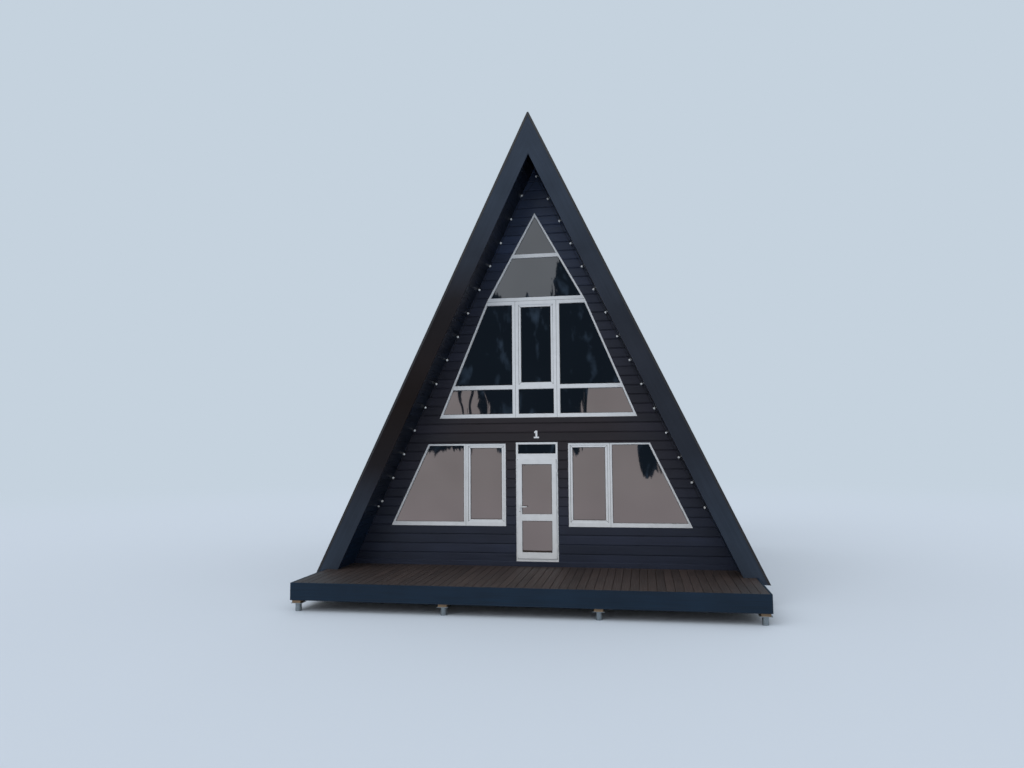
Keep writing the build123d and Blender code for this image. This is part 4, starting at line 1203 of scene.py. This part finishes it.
class CABIN_OT_stage(Operator):
    """Sets the pale floor, the soft light and the camera"""

    bl_idname = "cabin.stage"
    bl_label = "Stage"

    def execute(self, context):
        stage = context.scene.cabin_stage
        self.camera(context, stage)
        self.floor(context, stage)
        self.light(context, stage)
        context.scene.view_settings.view_transform = "Standard"
        return {"FINISHED"}

    def camera(self, context, stage):
        """A camera whose line of sight is given by its yaw and pitch, rolled about that line."""
        data = bpy.data.cameras.new("camera")
        data.lens = stage.lens
        data.sensor_width = SENSOR
        data.clip_end = REACH
        made = bpy.data.objects.new("camera", data)
        context.scene.collection.objects.link(made)
        yaw, pitch, roll = stage.yaw, stage.pitch, stage.roll
        ahead = Vector((-sin(yaw) * cos(pitch), cos(yaw) * cos(pitch), sin(pitch)))
        side = Vector((cos(yaw), sin(yaw), 0))
        up = side.cross(ahead)
        right = cos(roll) * side + sin(roll) * up
        top = cos(roll) * up - sin(roll) * side
        turn = Matrix((right, top, -ahead)).transposed()
        made.matrix_world = Matrix.Translation(stage.camera_at) @ turn.to_4x4()
        context.scene.camera = made

    def floor(self, context, stage):
        """A round flat floor: circles about the middle, joined ring by ring, the smallest of them
        filled. Far out it turns into the colour of the backdrop, so that no edge shows."""
        t = np.linspace(0, 2 * np.pi, FLOOR_SIDES, endpoint=False)
        circle = np.stack([np.cos(t), np.sin(t), np.zeros_like(t)], axis=-1)
        rings = np.array(FLOOR_CIRCLES)[:, None, None] * circle[None]
        points, faces = loft(rings[None])
        mesh = bpy.data.meshes.new("studio_floor")
        mesh.from_pydata(points.tolist(), [], faces[:-2] + [faces[-2][::-1]])
        made = bpy.data.objects.new("studio_floor", mesh)
        context.scene.collection.objects.link(made)
        material, tree, shader = new_surface("matt_floor_paint", 0.9, specular=0)
        shader.inputs["Base Color"].default_value = rgba(stage.floor)
        coordinates = add(tree, "ShaderNodeTexCoord").outputs["Object"]
        radius = add(tree, "ShaderNodeVectorMath", [(0, coordinates)], operation="LENGTH").outputs["Value"]
        start, stop = FLOOR_FADE
        far = add(
            tree, "ShaderNodeMapRange", [("Value", radius), ("From Min", start), ("From Max", stop)],
            interpolation_type="SMOOTHSTEP",
        )
        direct = either_ray(tree, "Is Camera Ray", "Is Glossy Ray")
        share = add(tree, "ShaderNodeMath", [(0, far.outputs[0]), (1, direct)], operation="MULTIPLY")
        seen = add(tree, "ShaderNodeEmission", [("Color", rgba(stage.backdrop)), ("Strength", 1.0)])
        both = add(
            tree, "ShaderNodeMixShader", [(0, share.outputs[0]), (1, shader.outputs[0]), (2, seen.outputs[0])]
        )
        output = next(node for node in tree.nodes if node.type == "OUTPUT_MATERIAL")
        tree.links.new(both.outputs[0], output.inputs["Surface"])
        mesh.materials.append(material)

    def light(self, context, stage):
        """Even light from all round, with a backdrop for the camera and a dark ragged card low
        round the studio that only reflections see."""
        world = bpy.data.worlds.new("studio")
        context.scene.world = world
        world.use_nodes = True
        tree = world.node_tree
        tree.nodes.clear()
        backdrop = add(tree, "ShaderNodeBackground", [("Color", rgba(stage.backdrop)), ("Strength", 1.0)])
        even = add(tree, "ShaderNodeBackground", [("Color", rgba(SKY_TINT)), ("Strength", stage.sky)])
        seen = add(tree, "ShaderNodeBackground", [("Color", self.card(tree, stage)), ("Strength", 1.0)])
        glossy = add(tree, "ShaderNodeLightPath").outputs["Is Glossy Ray"]
        mirrored = add(
            tree, "ShaderNodeMixShader", [(0, glossy), (1, even.outputs[0]), (2, seen.outputs[0])]
        )
        direct = either_ray(tree, "Is Camera Ray", "Is Transmission Ray")
        shown = add(
            tree, "ShaderNodeMixShader", [(0, direct), (1, mirrored.outputs[0]), (2, backdrop.outputs[0])]
        )
        add(tree, "ShaderNodeOutputWorld", [("Surface", shown.outputs[0])])
        data = bpy.data.lights.new("key", "SUN")
        data.energy = stage.key
        data.angle = radians(KEY_WIDTH)
        lamp = bpy.data.objects.new("key", data)
        lamp.rotation_euler = [radians(turn) for turn in KEY_TURN]
        context.scene.collection.objects.link(lamp)

    def card(self, tree, stage):
        """What glass mirrors: pale low down, a dark scuffed card near eye level with two gaps that
        uprights cross, and a duller pale card over it. The card's edges are heights of the line of
        sight that change with its bearing, and narrow upright patches make them ragged. Patches are
        measured here in thousandths of the line of sight's length."""
        direction = add(tree, "ShaderNodeTexCoord").outputs["Generated"]
        at = add(tree, "ShaderNodeSeparateXYZ", [(0, direction)]).outputs
        narrow = patches(tree, direction, (4, 4, 300), 3.0)
        waver = add(
            tree, "ShaderNodeMapRange", [("Value", narrow), ("To Min", -CARD_WAVER), ("To Max", CARD_WAVER)]
        )
        bearing = add(tree, "ShaderNodeMath", [(0, at["X"]), (1, waver.outputs[0])]).outputs[0]
        foot, gap, top = [self.edge(tree, bearing, narrow, *edge) for edge in CARD_EDGES]
        solid = between(tree, at["Z"], foot, top)
        hole = between(tree, at["Z"], GAP_FLOOR, gap)
        dark = add(tree, "ShaderNodeMath", [(0, solid), (1, hole)], operation="SUBTRACT", use_clamp=True)
        start, stop = OVERHEAD_SPAN
        upper = add(tree, "ShaderNodeMapRange", [("Value", at["Z"]), ("From Min", start), ("From Max", stop)])
        pale = add(
            tree, "ShaderNodeMix",
            [(0, upper.outputs[0]), (6, rgba(stage.backdrop)), (7, rgba(stage.overhead))], data_type="RGBA",
        )
        marks = patches(tree, direction, (14, 14, 30), 8.0)
        start, stop = SCUFF_SPAN
        scuffs = add(tree, "ShaderNodeMapRange", [("Value", marks), ("From Min", start), ("From Max", stop)])
        scuffed = add(
            tree, "ShaderNodeMix",
            [(0, scuffs.outputs[0]), (6, rgba(stage.card)), (7, shade(stage.card, SCUFF_SHADE))],
            data_type="RGBA",
        )
        return add(
            tree, "ShaderNodeMix",
            [(0, dark.outputs[0]), (6, pale.outputs[2]), (7, scuffed.outputs[2])], data_type="RGBA",
        ).outputs[2]

    def edge(self, tree, bearing, pattern, points, ragged):
        """One edge of the card: a broken line, with the pattern added to it over a height of
        ragged."""
        line = broken_line(tree, bearing, CARD_SPAN, points, CARD_LIFT)
        rough = add(
            tree, "ShaderNodeMapRange",
            [
                ("Value", pattern), ("From Min", 0.3), ("From Max", 0.7),
                ("To Min", -ragged / 2 - CARD_LIFT), ("To Max", ragged / 2 - CARD_LIFT),
            ],
        )
        return add(tree, "ShaderNodeMath", [(0, line), (1, rough.outputs[0])]).outputs[0]


class CABIN_PT_sidebar(Panel):
    """Lists the parts of the cabin and the values they are made from"""

    bl_label = "A-frame cabin"
    bl_idname = "CABIN_PT_sidebar"
    bl_space_type = "VIEW_3D"
    bl_region_type = "UI"
    bl_category = "Cabin"

    def draw(self, context):
        for step in STEPS:
            self.layout.operator(step.bl_idname)
        for name in GROUPS:
            box = self.layout.box()
            group = getattr(context.scene, name)
            for prop in group.bl_rna.properties:
                if prop.identifier not in ("rna_type", "name"):
                    box.prop(group, prop.identifier)


GROUPS = {
    "cabin_boards": CabinBoards,
    "cabin_roof": CabinRoof,
    "cabin_details": CabinDetails,
    "cabin_colours": CabinColours,
    "cabin_stage": CabinStage,
}
STEPS = (
    CABIN_OT_stage,
    CABIN_OT_finishes,
    CABIN_OT_wall_boards,
    CABIN_OT_soffit_boards,
    CABIN_OT_deck_boards,
    CABIN_OT_roof_sheets,
    CABIN_OT_gaskets,
    CABIN_OT_festoon,
)


def register():
    for group in GROUPS.values():
        bpy.utils.register_class(group)
    for step in (*STEPS, CABIN_PT_sidebar):
        bpy.utils.register_class(step)
    for name, group in GROUPS.items():
        setattr(bpy.types.Scene, name, PointerProperty(type=group))


def unregister():
    for name in GROUPS:
        delattr(bpy.types.Scene, name)
    for made in (CABIN_PT_sidebar, *reversed(STEPS), *GROUPS.values()):
        bpy.utils.unregister_class(made)


def main():
    register()
    bpy.ops.cabin.stage()
    bpy.ops.cabin.finishes()
    bpy.ops.cabin.wall_boards()
    bpy.ops.cabin.soffit_boards()
    bpy.ops.cabin.deck_boards()
    bpy.ops.cabin.roof_sheets()
    bpy.ops.cabin.gaskets()
    bpy.ops.cabin.festoon()


if __name__ == "__main__":
    main()
